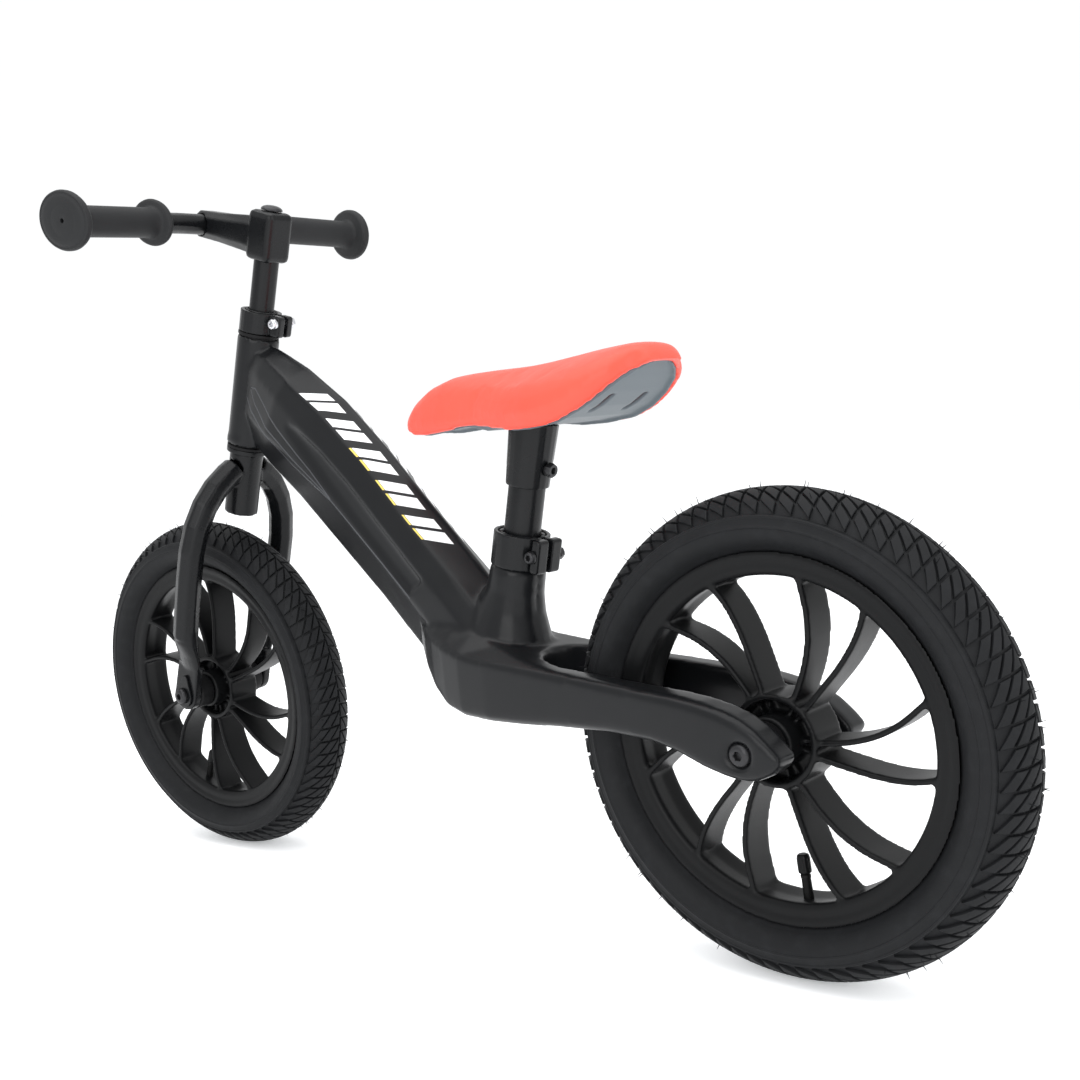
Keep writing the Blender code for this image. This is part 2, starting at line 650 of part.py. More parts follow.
def make_wheel(word, hub, phase):
    """Moulded wheel with its tyre, tube, valve, bearings and sleeve, on a hub empty."""
    wheel = turned(
        f"{word}_wheel",
        [(28, 15), (28, -15), (24.8, -15), (24.8, -3.5), (16, -3.5), (16, -HUB_HALF),
         (BEARING_RADIUS + GAP, -HUB_HALF), (BEARING_RADIUS + GAP, GAP - BEARING_INNER),
         (7, GAP - BEARING_INNER), (7, BEARING_INNER - GAP), (BEARING_RADIUS + GAP, BEARING_INNER - GAP),
         (BEARING_RADIUS + GAP, HUB_HALF), (16, HUB_HALF), (16, 3.5), (24.8, 3.5), (24.8, 15)],
        PLASTIC, hub, ALONG_Y, 24, True,
    )
    blades = []
    for pair in range(SPOKE_PAIRS):
        for line in (BLADE_LOW, BLADE_HIGH):
            number = len(blades)
            blades.append(flat(
                f"{word}_blade_{number}", blade_outline(line, phase + pair * 360 / SPOKE_PAIRS),
                BLADE_WIDTH, PLASTIC, hub, FACE_SIDE, True,
            ))
            rib_angle = phase + pair * 360 / SPOKE_PAIRS + line[0][1]
            blades.append(box(
                f"{word}_hub_rib_{number}", (10.4, 17, 2.0), (20.4, 0, 0), PLASTIC, hub,
                turn(-rib_angle, "Y"), cutter=True,
            ))
    spokes = blades[0]
    merge(spokes, blades[1:])
    rim = turned(
        f"{word}_rim",
        [(112.2, 15.6), (109.5, 12.5), (104, 8), (104, -8), (109.5, -12.5), (112.2, -15.6),
         (100, -14.4), (97.2, -12.8), (98.6, 0), (97.2, 12.8), (100, 14.4)],
        PLASTIC, hub, ALONG_Y, SEGMENTS, True, True,
    )
    valve_line = turn(-(phase + VALVE_AFTER[word]), "Y") @ turn(90, "Y")
    valve_way = rod(f"{word}_valve_way", 3.4, 90, 115, PLASTIC, hub, valve_line, 12, True)
    join(wheel, spokes, rim)
    cut(wheel, valve_way)

    half_tread = [(113.0, 16.2), (118.5, 22.8), (128, 24.3), (138, 19.8), (144.8, 11.6)]
    half_inside = [(110.0, 12.3), (110.0, 9.4), (116, 16.9), (127, 21), (139, 13)]
    outside = half_tread + [(WHEEL_RADIUS, 0)] + [(r, -y) for r, y in half_tread[::-1]]
    inside = half_inside + [(r, -y) for r, y in half_inside[::-1]]
    turned(f"{word}_tyre", outside + inside[::-1], TYRE, hub, ALONG_Y, SEGMENTS, True)

    skin = [(r, -y) for r, y in arc(124.5, 0, 13.2, -180, 180, 8)[:-1]]
    core = [(r, -y) for r, y in arc(124.5, 0, 11.9, -180, 180, 8)[:-1]]
    tube = turned(f"{word}_inner_tube", skin, INNER, hub, ALONG_Y, 20, True)
    air = turned(f"{word}_tube_air", core, INNER, hub, ALONG_Y, 20, True, True)
    tube_way = rod(f"{word}_tube_way", 3.4, 105, 120, INNER, hub, valve_line, 12, True)
    cut(tube, air, tube_way)
    turned(
        f"{word}_valve_stem",
        [(0, 115.5), (3, 115.5), (3, 84), (2.3, 83), (2.3, 77), (0, 77)],
        INNER, hub, valve_line, 14,
    )
    turned(
        f"{word}_valve_cap",
        [(0, 76.2), (2.7, 76.2), (2.7, 82.6), (3.8, 82.6), (3.9, 80), (3.9, 73.5), (3.1, 71), (0, 71)],
        PLASTIC, hub, valve_line, 14,
    )
    for side, hand in ((1, "left"), (-1, "right")):
        pipe(
            f"{word}_bearing_{hand}", BEARING_RADIUS, AXLE_RADIUS + GAP,
            *sorted((side * BEARING_INNER, side * (BEARING_INNER + 6))), STEEL, hub, ALONG_Y, 16,
        )
    pipe(
        f"{word}_hub_sleeve", 6.7, AXLE_RADIUS + GAP, -BEARING_INNER + GAP, BEARING_INNER - GAP,
        STEEL, hub, ALONG_Y, 16,
    )
    return wheel


VALVE_AFTER = {"front": 270.0, "rear": 210.0}


def merge(target, others):
    """Put the meshes of several tools into one tool of separate bodies."""
    shape = bmesh.new()
    for tool in [target, *others]:
        copy = tool.data.copy()
        copy.transform(tool.matrix_basis)
        shape.from_mesh(copy)
        bpy.data.meshes.remove(copy)
    shape.to_mesh(target.data)
    shape.free()
    target.matrix_basis = Matrix()
    for tool in others:
        bpy.data.objects.remove(tool)


def make_axle(word, hub, inner_face, head_from):
    """Hollow axle, end spacers and the two socket bolts that hold it."""
    end = inner_face - GAP
    pipe(f"{word}_axle", AXLE_RADIUS, BOLT_RADIUS + GAP, -end, end, STEEL, hub, ALONG_Y, 16)
    for side, hand in ((1, "left"), (-1, "right")):
        place = ALONG_Y if side > 0 else turn(90, "X")
        turned(
            f"{word}_spacer_{hand}",
            [(12.5, end), (14, end - 1.5), (14, HUB_HALF + 1), (10, HUB_HALF + 1),
             (9, BEARING_INNER + 6.3), (AXLE_RADIUS + GAP, BEARING_INNER + 6.3), (AXLE_RADIUS + GAP, end)],
            PLASTIC, hub, place, 20, True,
        )
        bolt = turned(
            f"{word}_axle_bolt_{hand}",
            [(0, head_from + 4.4), (5, head_from + 4.4), (6.8, head_from + 2.6), (7, head_from),
             (BOLT_RADIUS, head_from), (BOLT_RADIUS, 10), (0, 10)],
            DARK_STEEL, hub, place, 20,
        )
        key = hexagon(
            f"{word}_axle_key_{hand}", 5, head_from + 1.6, head_from + 8, DARK_STEEL, hub, place, True,
        )
        cut(bolt, key)


def make_safety_washers():
    """Teardrop washers under the front axle bolts."""
    outer = FORK_INNER + FORK_PLATE
    for side, hand in ((1, "left"), (-1, "right")):
        washer = flat(
            f"front_washer_{hand}", arc(0, 0, 10.5, 160, 380, 12) + arc(0, 16.5, 3, 20, 160, 4), 2.0,
            TUBE_PAINT, STEERING, offset(0, side * (outer + 1.0 + GAP), 0) @ FACE_SIDE,
        )
        hole = rod(f"washer_hole_{hand}", BOLT_RADIUS + GAP, -70, 70, TUBE_PAINT, STEERING, ALONG_Y, 16, True)
        cut(washer, hole)


# ---------------------------------------------------------------- seat

# x, half width of the pan's rim, height of the rim
SADDLE_STATIONS = [
    (66.5, 3.0, 373.5), (69.0, 14.0, 371.5), (73.0, 22.0, 368.0), (79.0, 29.5, 363.5),
    (90.0, 35.0, 356.0), (104.0, 39.0, 348.6), (120.0, 40.5, 343.2), (143.0, 39.5, 341.2),
    (160.0, 36.0, 341.6), (178.0, 31.0, 344.5), (196.0, 27.0, 347.3), (215.0, 24.0, 348.0),
    (236.0, 21.0, 346.3), (256.0, 17.5, 345.2), (272.0, 12.5, 346.8), (283.0, 6.0, 350.0),
]
PLATE_TOP = 343.5
SCREW_SEAT = 64.0                # top of the bracket bore, along the seat post
# x and height of the saddle's crown
CROWN = [(61.0, 376.0), (64.0, 382.5), (69.0, 386.0), (80.0, 387.0), (104.0, 384.6), (132.0, 382.0),
         (165.0, 381.2), (205.0, 382.6), (235.0, 382.6), (256.0, 378.6), (272.0, 371.5),
         (283.0, 363.5), (289.5, 355.0)]


def pan_ring(x, width, rim, under, spread=0.0, rise=6.0):
    """Section of the pan: a shallow tray whose underside is level at a height of its own."""
    lip = min(2.0, width * 0.15)
    half = [(width + spread, rim + rise), (width + spread, rim - spread),
            (width - lip, rim - spread), (width - 2.2 * lip, under)]
    return [(x, y, z) for y, z in half] + [(x, -y, z) for y, z in half[::-1]]


def pad_ring(x, width, rim):
    """Section of the pad: a full dome over the pan with a skirt down its sides."""
    crown = smooth(CROWN, x)
    rise = crown - rim
    half = [(0, 1.0), (0.34, 0.975), (0.62, 0.88), (0.85, 0.68), (0.98, 0.42), (1.0, 0.2), (0.92, 0.0)]
    wide = width + 8.0
    ring = [(x, wide * y, rim + rise * z) for y, z in half]
    return ring + [(x, -y, z) for _, y, z in ring[:0:-1]]


def make_saddle():
    """Grey pan with two slots, coral pad, bracket, sleeve bolt and pan screws."""
    rings = []
    for x, width, rim in SADDLE_STATIONS:
        under = PLATE_TOP + GAP if 140 < x < 200 else rim + 2.5
        rings.append(pan_ring(x, width, rim, under))
    pan = loft("saddle_pan", rings, PAN, BIKE)
    for side in (-1, 1):
        slot = flat(
            f"pan_slot_{side}",
            arc(111, side * 17, 2.2, -90, 90, 6) + arc(95, side * 17, 2.2, 90, 270, 6),
            60, PAN, BIKE, offset(0, 0, 350), True,
        )
        cut(pan, slot)
    ends = [(61.0, 5.0, 375.0), (63.0, 14.0, 374.0)], [(287.5, 2.5, 352.0), (290.5, 0.5, 354.0)]
    stations = ends[0] + SADDLE_STATIONS[1:] + ends[1]
    rings = []
    for x, width, rim in stations:
        rings.append(pad_ring(x, width if 63.5 < x < 287 else width - 4.5, rim))
    pad = loft("saddle_pad", rings, PAD, BIKE)
    recess = loft(
        "pad_recess",
        [pan_ring(x, width, rim, rim - 30.0, GAP, 6.0 + GAP) for x, width, rim in SADDLE_STATIONS],
        PAD, BIKE, cutter=True,
    )
    cut(pad, recess)


def make_seat_post():
    """Seat post, the sleeve with its top plate that carries the saddle, and their screws."""
    post = pipe("seat_post", POST_RADIUS, 10.5, -86, 52, TUBE_PAINT, SEAT)
    bracket = turned(
        "saddle_bracket",
        [(0, 80), (17.2, 80), (16.2, 58), (15, 31.5), (0, 31.5)],
        TUBE_PAINT, SEAT, Matrix(), 20,
    )
    bore = rod("bracket_bore", POST_RADIUS + GAP, 20, SCREW_SEAT, TUBE_PAINT, SEAT, Matrix(), 20, True)
    trim = box("bracket_trim", (90, 60, 40), (172, 0, PLATE_TOP + 20), TUBE_PAINT, BIKE, cutter=True)
    cut(bracket, bore, trim)
    bolt_line = offset(0, 0, 45.5) @ turn(-90, "Y")
    bolt = turned(
        "saddle_bracket_bolt",
        [(0, 21.4), (3.6, 21.4), (4.6, 20.4), (4.6, 16.4), (BOLT_RADIUS, 16.4), (BOLT_RADIUS, 8.5), (0, 8.5)],
        DARK_STEEL, SEAT, bolt_line, 6,
    )
    way = rod("bracket_bolt_way", BOLT_RADIUS + GAP, 5, 30, DARK_STEEL, SEAT, bolt_line, 16, True)
    cut(bracket, way)
    cut(post, way)
    pan = bpy.data.objects["saddle_pan"]
    for y, word in ((7.0, "left"), (-7.0, "right")):
        place = offset(0, y, 0)
        screw_way = rod(f"saddle_screw_way_{word}", 2 + GAP, 50, 74.2, STEEL, SEAT, place, 14, True)
        cut(bracket, screw_way)
        cut(pan, screw_way)
        turned(
            f"saddle_screw_{word}",
            [(0, 73.9), (2, 73.9), (2, SCREW_SEAT - GAP), (4, SCREW_SEAT - GAP),
             (3.2, SCREW_SEAT - 2.9), (0, SCREW_SEAT - 3.2)],
            DARK_STEEL, SEAT, place, 16,
        )
    return bracket


def centre_footprint():
    """Move the bike so that the origin is the middle of its footprint box."""
    bpy.context.view_layer.update()
    graph = bpy.context.evaluated_depsgraph_get()
    low = Vector((9.0, 9.0, 9.0))
    high = -low
    for piece in PARTS.objects:
        if piece.type != "MESH":
            continue
        mesh = piece.evaluated_get(graph).to_mesh()
        for vertex in mesh.vertices:
            place = piece.matrix_world @ vertex.co
            low = Vector(map(min, low, place))
            high = Vector(map(max, high, place))
    BIKE.location = (-(low.x + high.x) / 2, -(low.y + high.y) / 2, -low.z)
    bpy.context.view_layer.update()


def main():
    """Make the whole bike and centre its footprint on the origin."""
    make_frame()
    make_fork()
    make_headset()
    make_clamp(
        "head", STEERING, turn(11, "Z"), STEERER_RADIUS + GAP, 16.6, 319.2, 336, 25.5, 9.6, 2.4, TUBE_PAINT, STEEL,
    )
    make_clamp("seat", SEAT, Matrix(), 16.8, 19.6, -24, -0.6, 26.6, 12.6, 0, TUBE_PAINT, DARK_STEEL)
    make_stem()
    make_handlebar()
    make_wheel("front", FRONT_HUB, FRONT_PHASE - HEAD_ANGLE)
    make_wheel("rear", REAR_HUB, REAR_PHASE)
    make_axle("front", FRONT_HUB, FORK_INNER, FORK_INNER + FORK_PLATE + 2.6)
    make_axle("rear", REAR_HUB, STAY_INNER, STAY_OUTER - 4.4)
    make_safety_washers()
    make_saddle()
    make_seat_post()
    centre_footprint()


main()
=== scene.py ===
# %% [markdown]
# # A child's balance bike
# The bike has a one-piece cast frame, a welded steel fork, two moulded wheels and a padded saddle.
# Its solid parts come from a fixed model that already has the right sizes and joints. This lesson
# gives each of them its finished surface, and puts nothing in a new place.

# %% Load the fixed model
import json
import math
import random

import bmesh
import bpy
from mathutils import Matrix, Vector


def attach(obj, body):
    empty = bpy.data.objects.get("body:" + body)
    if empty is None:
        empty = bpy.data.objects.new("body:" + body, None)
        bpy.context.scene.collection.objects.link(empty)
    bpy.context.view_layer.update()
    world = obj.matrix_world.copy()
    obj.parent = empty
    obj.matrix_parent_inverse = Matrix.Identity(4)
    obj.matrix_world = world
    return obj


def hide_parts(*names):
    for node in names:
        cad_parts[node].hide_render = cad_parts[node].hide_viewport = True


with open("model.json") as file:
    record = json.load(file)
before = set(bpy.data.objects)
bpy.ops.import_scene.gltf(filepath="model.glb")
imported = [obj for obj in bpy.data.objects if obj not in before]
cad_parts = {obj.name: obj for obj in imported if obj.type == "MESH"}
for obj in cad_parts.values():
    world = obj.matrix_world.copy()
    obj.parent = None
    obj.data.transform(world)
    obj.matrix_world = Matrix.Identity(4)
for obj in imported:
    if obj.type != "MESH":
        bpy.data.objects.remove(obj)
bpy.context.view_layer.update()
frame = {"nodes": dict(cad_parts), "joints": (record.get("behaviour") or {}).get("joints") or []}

# %% [markdown]
# ## Where things are
# A bike is built round a few lines: the rear axle, the steering axis, the seat post. The joints of
# the fixed model give those lines, so a piece is drawn in millimetres about its own line and is
# then carried to its place. Each matrix below has its Z along the line it is named for.

# %% Lines of the bike
joints = {joint["name"]: joint for joint in frame["joints"]}


def line(up, left, origin):
    """Matrix with Z along up and Y towards left, at an origin in metres."""
    up = Vector(up).normalized()
    left = Vector(left).normalized()
    made = Matrix((left.cross(up), left, up)).transposed().to_4x4()
    made.translation = origin
    return made


LEFT = Vector((0, 1, 0))
rear_axle = Vector(joints["rear_wheel_spin"]["pos_m"])
front_axle = Vector(joints["steering"]["pos_m"])
ground = Vector((rear_axle.x, rear_axle.y, 0))
steering_axis = joints["steering"]["axis"]
FORK = line(steering_axis, joints["front_wheel_spin"]["axis"], front_axle)
HEAD = line(steering_axis, LEFT, front_axle)
SEAT = line(joints["seat_height"]["axis"], LEFT, ground + Vector((0.193, 0, 0.275)))
REAR = Matrix.Translation(rear_axle)
SIDEWAYS = Matrix.Rotation(math.radians(-90), 4, "X")
print("wheelbase:", round((front_axle - rear_axle).length * 1000, 1), "mm")


# %% [markdown]
# ## Shader sums in Python
# A finish is a small network of nodes. Wrapping a node's output in a class that knows +, - and *
# lets the network be written as a sum, which reads better than dozens of links.

# %% Wires and finishes
class Wire:
    """The output of a node, which Python's operators can work on."""

    def __init__(self, finish, socket):
        self.finish = finish
        self.socket = socket

    def math(self, operation, *others):
        return self.finish.node("Math", {"operation": operation}, [self, *others])

    def __add__(self, other):
        return self.math("ADD", other)

    def __sub__(self, other):
        return self.math("SUBTRACT", other)

    def __rsub__(self, other):
        return self.finish.node("Math", {"operation": "SUBTRACT"}, [other, self])

    def __mul__(self, other):
        return self.math("MULTIPLY", other)

    def __truediv__(self, other):
        return self.math("DIVIDE", other)

    __radd__ = __add__
    __rmul__ = __mul__

    def step(self, low, high):
        """0 below low, 1 above high and eased in between."""
        settings = {"interpolation_type": "SMOOTHSTEP"}
        return self.finish.node("MapRange", settings, {"Value": self, "From Min": low, "From Max": high})


class Finish:
    """A material with one Principled shader, and a method that adds any node."""

    def __init__(self, name, colour, roughness, **more):
        self.material = bpy.data.materials.new(name)
        self.material.use_nodes = True
        self.tree = self.material.node_tree
        self.shader = self.tree.nodes["Principled BSDF"]
        self.shader.inputs["Base Color"].default_value = (*colour, 1)
        self.shader.inputs["Roughness"].default_value = roughness
        for words, value in more.items():
            self.shader.inputs[words.replace("_", " ")].default_value = value

    def node(self, kind, settings=None, values=(), output=0):
        """Add a node: its settings first, then values or wires for its sockets."""
        made = self.tree.nodes.new("ShaderNode" + kind)
        for key, value in (settings or {}).items():
            setattr(made, key, value)
        pairs = values.items() if isinstance(values, dict) else enumerate(values)
        for key, value in pairs:
            if isinstance(value, Wire):
                self.tree.links.new(value.socket, made.inputs[key])
            else:
                made.inputs[key].default_value = value
        return Wire(self, made.outputs[output])

    def place(self):
        """Object coordinates, in metres."""
        return self.node("TexCoord", output=3)

    def parts(self, vector):
        """The X, Y and Z of a vector."""
        first = self.node("SeparateXYZ", values=[vector])
        outputs = first.socket.node.outputs
        return [Wire(self, outputs[i]) for i in range(3)]

    def noise(self, scale, detail=2.0, at=None):
        """Cloudy value between 0 and 1; scale is in features to the metre."""
        values = {"Vector": at or self.place(), "Scale": scale, "Detail": detail}
        return self.node("TexNoise", values=values)

    def mix(self, amount, first, second):
        """Blend two colours."""
        colours = [c if isinstance(c, Wire) else (*c, 1) for c in (first, second)]
        return self.node("Mix", {"data_type": "RGBA"}, {0: amount, 6: colours[0], 7: colours[1]}, 2)

    def wear(self, colour=None, roughness=None, height=None, depth=0.0002, strength=1.0):
        """Connect what changes over the surface to the shader."""
        if colour:
            self.tree.links.new(colour.socket, self.shader.inputs["Base Color"])
        if roughness:
            self.tree.links.new(roughness.socket, self.shader.inputs["Roughness"])
        if height:
            values = {"Height": height, "Distance": depth, "Strength": strength}
            bump = self.node("Bump", values=values)
            self.tree.links.new(bump.socket, self.shader.inputs["Normal"])
        return self.material


# %% [markdown]
# ## Finishes
# Black is never one black. Powder coat on the casting has a fine orange-peel skin, wet paint on the
# tubes is glossier, moulded nylon is duller with a faint grain, and rubber scatters the most. Each
# finish below is almost the same dark colour; the roughness and the bump tell them apart.

# %% Black finishes
def speckled(name, dark, light, rough, spread, grain, **more):
    """A finish whose colour and roughness drift, over a fine grain."""
    finish = Finish(name, dark, rough, **more)
    cloud = finish.noise(45, 3)
    fine = finish.noise(grain, 2)
    colour = finish.mix(cloud * 0.7 + fine * 0.3, dark, light)
    roughness = cloud * spread + (rough - spread / 2)
    return finish, colour, roughness, fine


def plain(name, dark, light, rough, spread, grain, depth, **more):
    """A speckled finish with nothing added; depth is the grain's height in metres."""
    finish, colour, roughness, fine = speckled(name, dark, light, rough, spread, grain, **more)
    return finish.wear(colour, roughness, fine, depth)


SHEEN_OF_PAINT = {"Specular_IOR_Level": 0.2}
SHEEN_OF_PLASTIC = {"Specular_IOR_Level": 0.13}
TUBE_PAINT = plain(
    "satin_tube_paint", (0.0035, 0.0038, 0.0044), (0.006, 0.0064, 0.0072),
    0.27, 0.08, 900, 0.00005, **SHEEN_OF_PAINT,
)
PLASTIC = plain(
    "wheel_plastic", (0.003, 0.0031, 0.0034), (0.0055, 0.0058, 0.0063),
    0.38, 0.1, 1500, 0.00006, **SHEEN_OF_PLASTIC,
)
DULL_PLASTIC = plain(
    "bush_plastic", (0.004, 0.004, 0.0044), (0.007, 0.007, 0.0075),
    0.5, 0.1, 1500, 0.00006, **SHEEN_OF_PLASTIC,
)
GRIP_RUBBER = plain(
    "grip_rubber", (0.01, 0.0105, 0.0112), (0.017, 0.0176, 0.0188),
    0.55, 0.12, 1800, 0.00012, **SHEEN_OF_PAINT,
)
TUBE_RUBBER = plain(
    "tube_rubber", (0.004, 0.004, 0.004), (0.008, 0.008, 0.008), 0.5, 0.1, 900, 0.00008, **SHEEN_OF_PLASTIC,
)
ZINC = plain("zinc_plate", (0.5, 0.5, 0.52), (0.66, 0.66, 0.68), 0.28, 0.12, 1200, 0.00003, Metallic=1.0)
BLACK_OXIDE = plain(
    "black_oxide", (0.015, 0.015, 0.017), (0.035, 0.035, 0.037), 0.34, 0.12, 1400, 0.00003, Metallic=0.6,
)
print("black finishes:", [m.name for m in bpy.data.materials if m.users == 0])

# %% [markdown]
# ## Tyre rubber
# Tyre rubber scatters light more than anything else on the bike. One finish serves tread and
# sidewall, because they are one moulding: a fine grain for the bump, and clouds of grey dust in
# the colour, which no two patches of a used tyre share.

# %% Tyre finish
def tyre_rubber():
    finish, colour, roughness, fine = speckled(
        "tyre_rubber", (0.006, 0.0064, 0.0072), (0.0105, 0.011, 0.012), 0.55, 0.12, 1600,
        Specular_IOR_Level=0.13,
    )
    dust = finish.noise(120, 4).step(0.45, 0.8)
    colour = finish.mix(dust * 0.3, colour, (0.018, 0.019, 0.021))
    return finish.wear(colour, roughness, fine, 0.0001)


TYRE_RUBBER = tyre_rubber()
print("made", TYRE_RUBBER.name)


# %% [markdown]
# ## Saddle finishes
# The saddle's cover is a smooth moulded skin in coral red with a very fine leather grain, and its
# pan is a grey plastic tray with a spark-eroded texture.

# %% Saddle finishes
def coral_skin():
    finish = Finish("coral_skin", (0.9, 0.075, 0.045), 0.42, Specular_IOR_Level=0.3)
    cloud = finish.noise(25, 2)
    grain = finish.node("TexVoronoi", {"feature": "SMOOTH_F1"}, {"Vector": finish.place(), "Scale": 900})
    colour = finish.mix(cloud, (0.86, 0.066, 0.04), (0.93, 0.082, 0.052))
    return finish.wear(colour, cloud * 0.1 + 0.37, grain, 0.00008, 0.6)


CORAL = coral_skin()
PAN_GREY = plain(
    "pan_grey", (0.085, 0.105, 0.12), (0.115, 0.137, 0.152), 0.5, 0.1, 1400, 0.0001, Specular_IOR_Level=0.3,
)
print("made", CORAL.name, PAN_GREY.name)

# %% [markdown]
# ## Cast frame finish
# The beam carries a thin raised line along its lower side, a leaf-shaped line above it, and a row
# of slanted white bars with a yellow edge on its upper facet. Lines this fine would need a very
# dense mesh, so they are drawn in the finish: the distance to a line through a few stations gives
# a mask. On the raised lines the mask drives a small bump for their relief, and a lighter grey that
# is a painted highlight, the light that catches their crests, put into the colour.

# %% Lines on the beam
BEAM_TOP = ground + Vector((0.442, 0, 0.430))
BEAM_TILT = math.radians(40.6)


def beam_place(finish):
    """How far down the beam and across it a point is, in millimetres, and its distance from the middle."""
    x, y, z = finish.parts(finish.place())
    cosine = math.cos(BEAM_TILT) * 1000
    sine = math.sin(BEAM_TILT) * 1000
    ahead = x - BEAM_TOP.x
    above = z - BEAM_TOP.z
    along = ahead * -cosine + above * -sine
    across = ahead * -sine + above * cosine
    return along, across, ((y - ground.y) * 1000).math("ABSOLUTE")


def run_near(along, across, stations, width):
    """1 on a line through stations of (along, across), and 0 away from it."""
    curve_points = sorted(stations)
    middle = None
    for (t0, v0), (t1, v1) in zip(curve_points, curve_points[1:]):
        slope = (v1 - v0) / (t1 - t0)
        piece_of_line = (along.math("MAXIMUM", t0).math("MINIMUM", t1) - t0) * slope
        middle = piece_of_line + v0 if middle is None else middle + piece_of_line
    gap = (across - middle).math("ABSOLUTE")
    ends = along.step(curve_points[0][0] - 1, curve_points[0][0] + 1)
    ends = ends * (1 - along.step(curve_points[-1][0] - 1, curve_points[-1][0] + 1))
    return (1 - gap.step(width * 0.5, width)) * ends


LOWER_LINE = [(4, -44), (17, -48), (42, -50), (90, -48.5), (140, -43), (196, -46), (249, -49)]
LEAF_TOP = [(6, -33), (14, -29), (30, -31), (60, -35), (110, -38), (140, -42)]
LEAF_LOW = [(6, -34), (20, -40), (45, -43.5), (90, -43.5), (140, -42)]


def cast_coat():
    finish, colour, roughness, fine = speckled(
        "cast_powder_coat", (0.004, 0.0043, 0.005), (0.007, 0.0075, 0.0085), 0.3, 0.08, 1000,
        Specular_IOR_Level=0.2,
    )
    along, across, side = beam_place(finish)
    on_side = side.step(9, 12)
    # Mask of the raised lines: it gives their real bump and their painted highlight.
    lines = run_near(along, across, LOWER_LINE, 1.1)
    for stations in (LEAF_TOP, LEAF_LOW):
        lines = lines.math("MAXIMUM", run_near(along, across, stations, 0.8))
    lines = lines * on_side
    # The lighter grey along the lines is a painted highlight on their crests, not a paint colour of the
    # casting.
    colour = finish.mix(lines * 0.6, colour, (0.07, 0.073, 0.08))
    bars, yellow = slanted_bars(along, side)
    upper = across.step(-16, -13)
    bars = bars * upper
    yellow = yellow * upper
    colour = finish.mix(yellow, colour, (0.72, 0.56, 0.12))
    colour = finish.mix(bars, colour, (0.86, 0.87, 0.88))
    height = fine * 0.12 + lines * 3.0 + bars * 0.8
    return finish.wear(colour, roughness + bars * 0.08, height, 0.00012)


def slanted_bars(along, side):
    """White slanted bars in pairs; the lower ones have a thin yellow edge."""
    reach = (side - 4.5) / 14
    leaned = along + side * 1.3
    phase = ((leaned - 84) / 36).math("FRACT")
    inside = leaned.step(84, 84.6) * (1 - leaned.step(263.4, 264))
    band = reach.step(0.04, 0.07) * (1 - reach.step(0.93, 0.96))
    first = phase.step(0.0, 0.02) * (1 - phase.step(0.29, 0.31))
    second = phase.step(0.39, 0.41) * (1 - phase.step(0.72, 0.74))
    bar = first + second
    edge = reach.step(0.955, 0.975) * (1 - reach.step(1.02, 1.04)) * leaned.step(150, 152)
    return bar * band * inside, bar * edge * inside


CAST_COAT = cast_coat()
print("nodes in the cast finish:", len(CAST_COAT.node_tree.nodes))

# %% [markdown]
# ## Tools for making pieces
# Three ways cover most of a bike. A turned piece is a profile that is spun about its line. A cast
# or welded piece starts as overlapping solids, which one voxel skin joins, and a few smoothing
# passes then round every inner corner as a weld or a mould does. What is left is drawn and bent.

# %% Making and placing
MILLIMETRES = Matrix.Scale(0.001, 4)


def piece(name, shape, finish, body, slot, *nodes, sharp=38):
    """Make an object of a bmesh in metres; it rides on a body and stands for CAD nodes."""
    mesh = bpy.data.meshes.new(name)
    shape.to_mesh(mesh)
    shape.free()
    mesh.materials.append(finish)
    mesh.shade_smooth()
    mesh.set_sharp_from_angle(angle=math.radians(sharp))
    made = bpy.data.objects.new(name, mesh)
    bpy.context.scene.collection.objects.link(made)
    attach(made, body)
    if nodes:
        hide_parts(*nodes)
    mesh.calc_loop_triangles()
    print(f"{name}: {len(mesh.loop_triangles)} triangles")
    return made


def copied(node):
    """A CAD node's mesh, merged, in metres."""
    shape = bmesh.new()
    shape.from_mesh(frame["nodes"][node].data)
    bmesh.ops.remove_doubles(shape, verts=shape.verts, dist=0.00001)
    return shape


def skinned(shape, voxel, passes):
    """One smooth skin over all the solids of a bmesh in metres; voxel is in millimetres."""
    mesh = bpy.data.meshes.new("solids")
    shape.to_mesh(mesh)
    shape.free()
    carrier = bpy.data.objects.new("solids", mesh)
    bpy.context.scene.collection.objects.link(carrier)
    skin = carrier.modifiers.new("skin", "REMESH")
    skin.mode = "VOXEL"
    skin.voxel_size = voxel * 0.001
    soften = carrier.modifiers.new("soften", "SMOOTH")
    soften.factor = 0.5
    soften.iterations = passes
    graph = bpy.context.evaluated_depsgraph_get()
    result = bpy.data.meshes.new_from_object(carrier.evaluated_get(graph))
    bpy.data.objects.remove(carrier)
    made = bmesh.new()
    made.from_mesh(result)
    return made


def spun(profile, place=Matrix(), steps=96):
    """Turned piece: a closed or axis-to-axis profile of (radius, height) in millimetres."""
    shape = bmesh.new()
    corners = [shape.verts.new((radius, 0, height)) for radius, height in profile]
    edges = [shape.edges.new(pair) for pair in zip(corners, corners[1:])]
    if profile[0][0] > 0 and profile[-1][0] > 0:
        edges.append(shape.edges.new((corners[-1], corners[0])))
    bmesh.ops.spin(
        shape, geom=corners + edges, cent=(0, 0, 0), axis=(0, 0, 1), dvec=(0, 0, 0),
        angle=math.tau, steps=steps, use_merge=True, use_duplicate=False,
    )
    bmesh.ops.remove_doubles(shape, verts=shape.verts, dist=0.0005)
    bmesh.ops.recalc_face_normals(shape, faces=shape.faces)
    bmesh.ops.transform(shape, matrix=place @ MILLIMETRES, verts=shape.verts)
    return shape


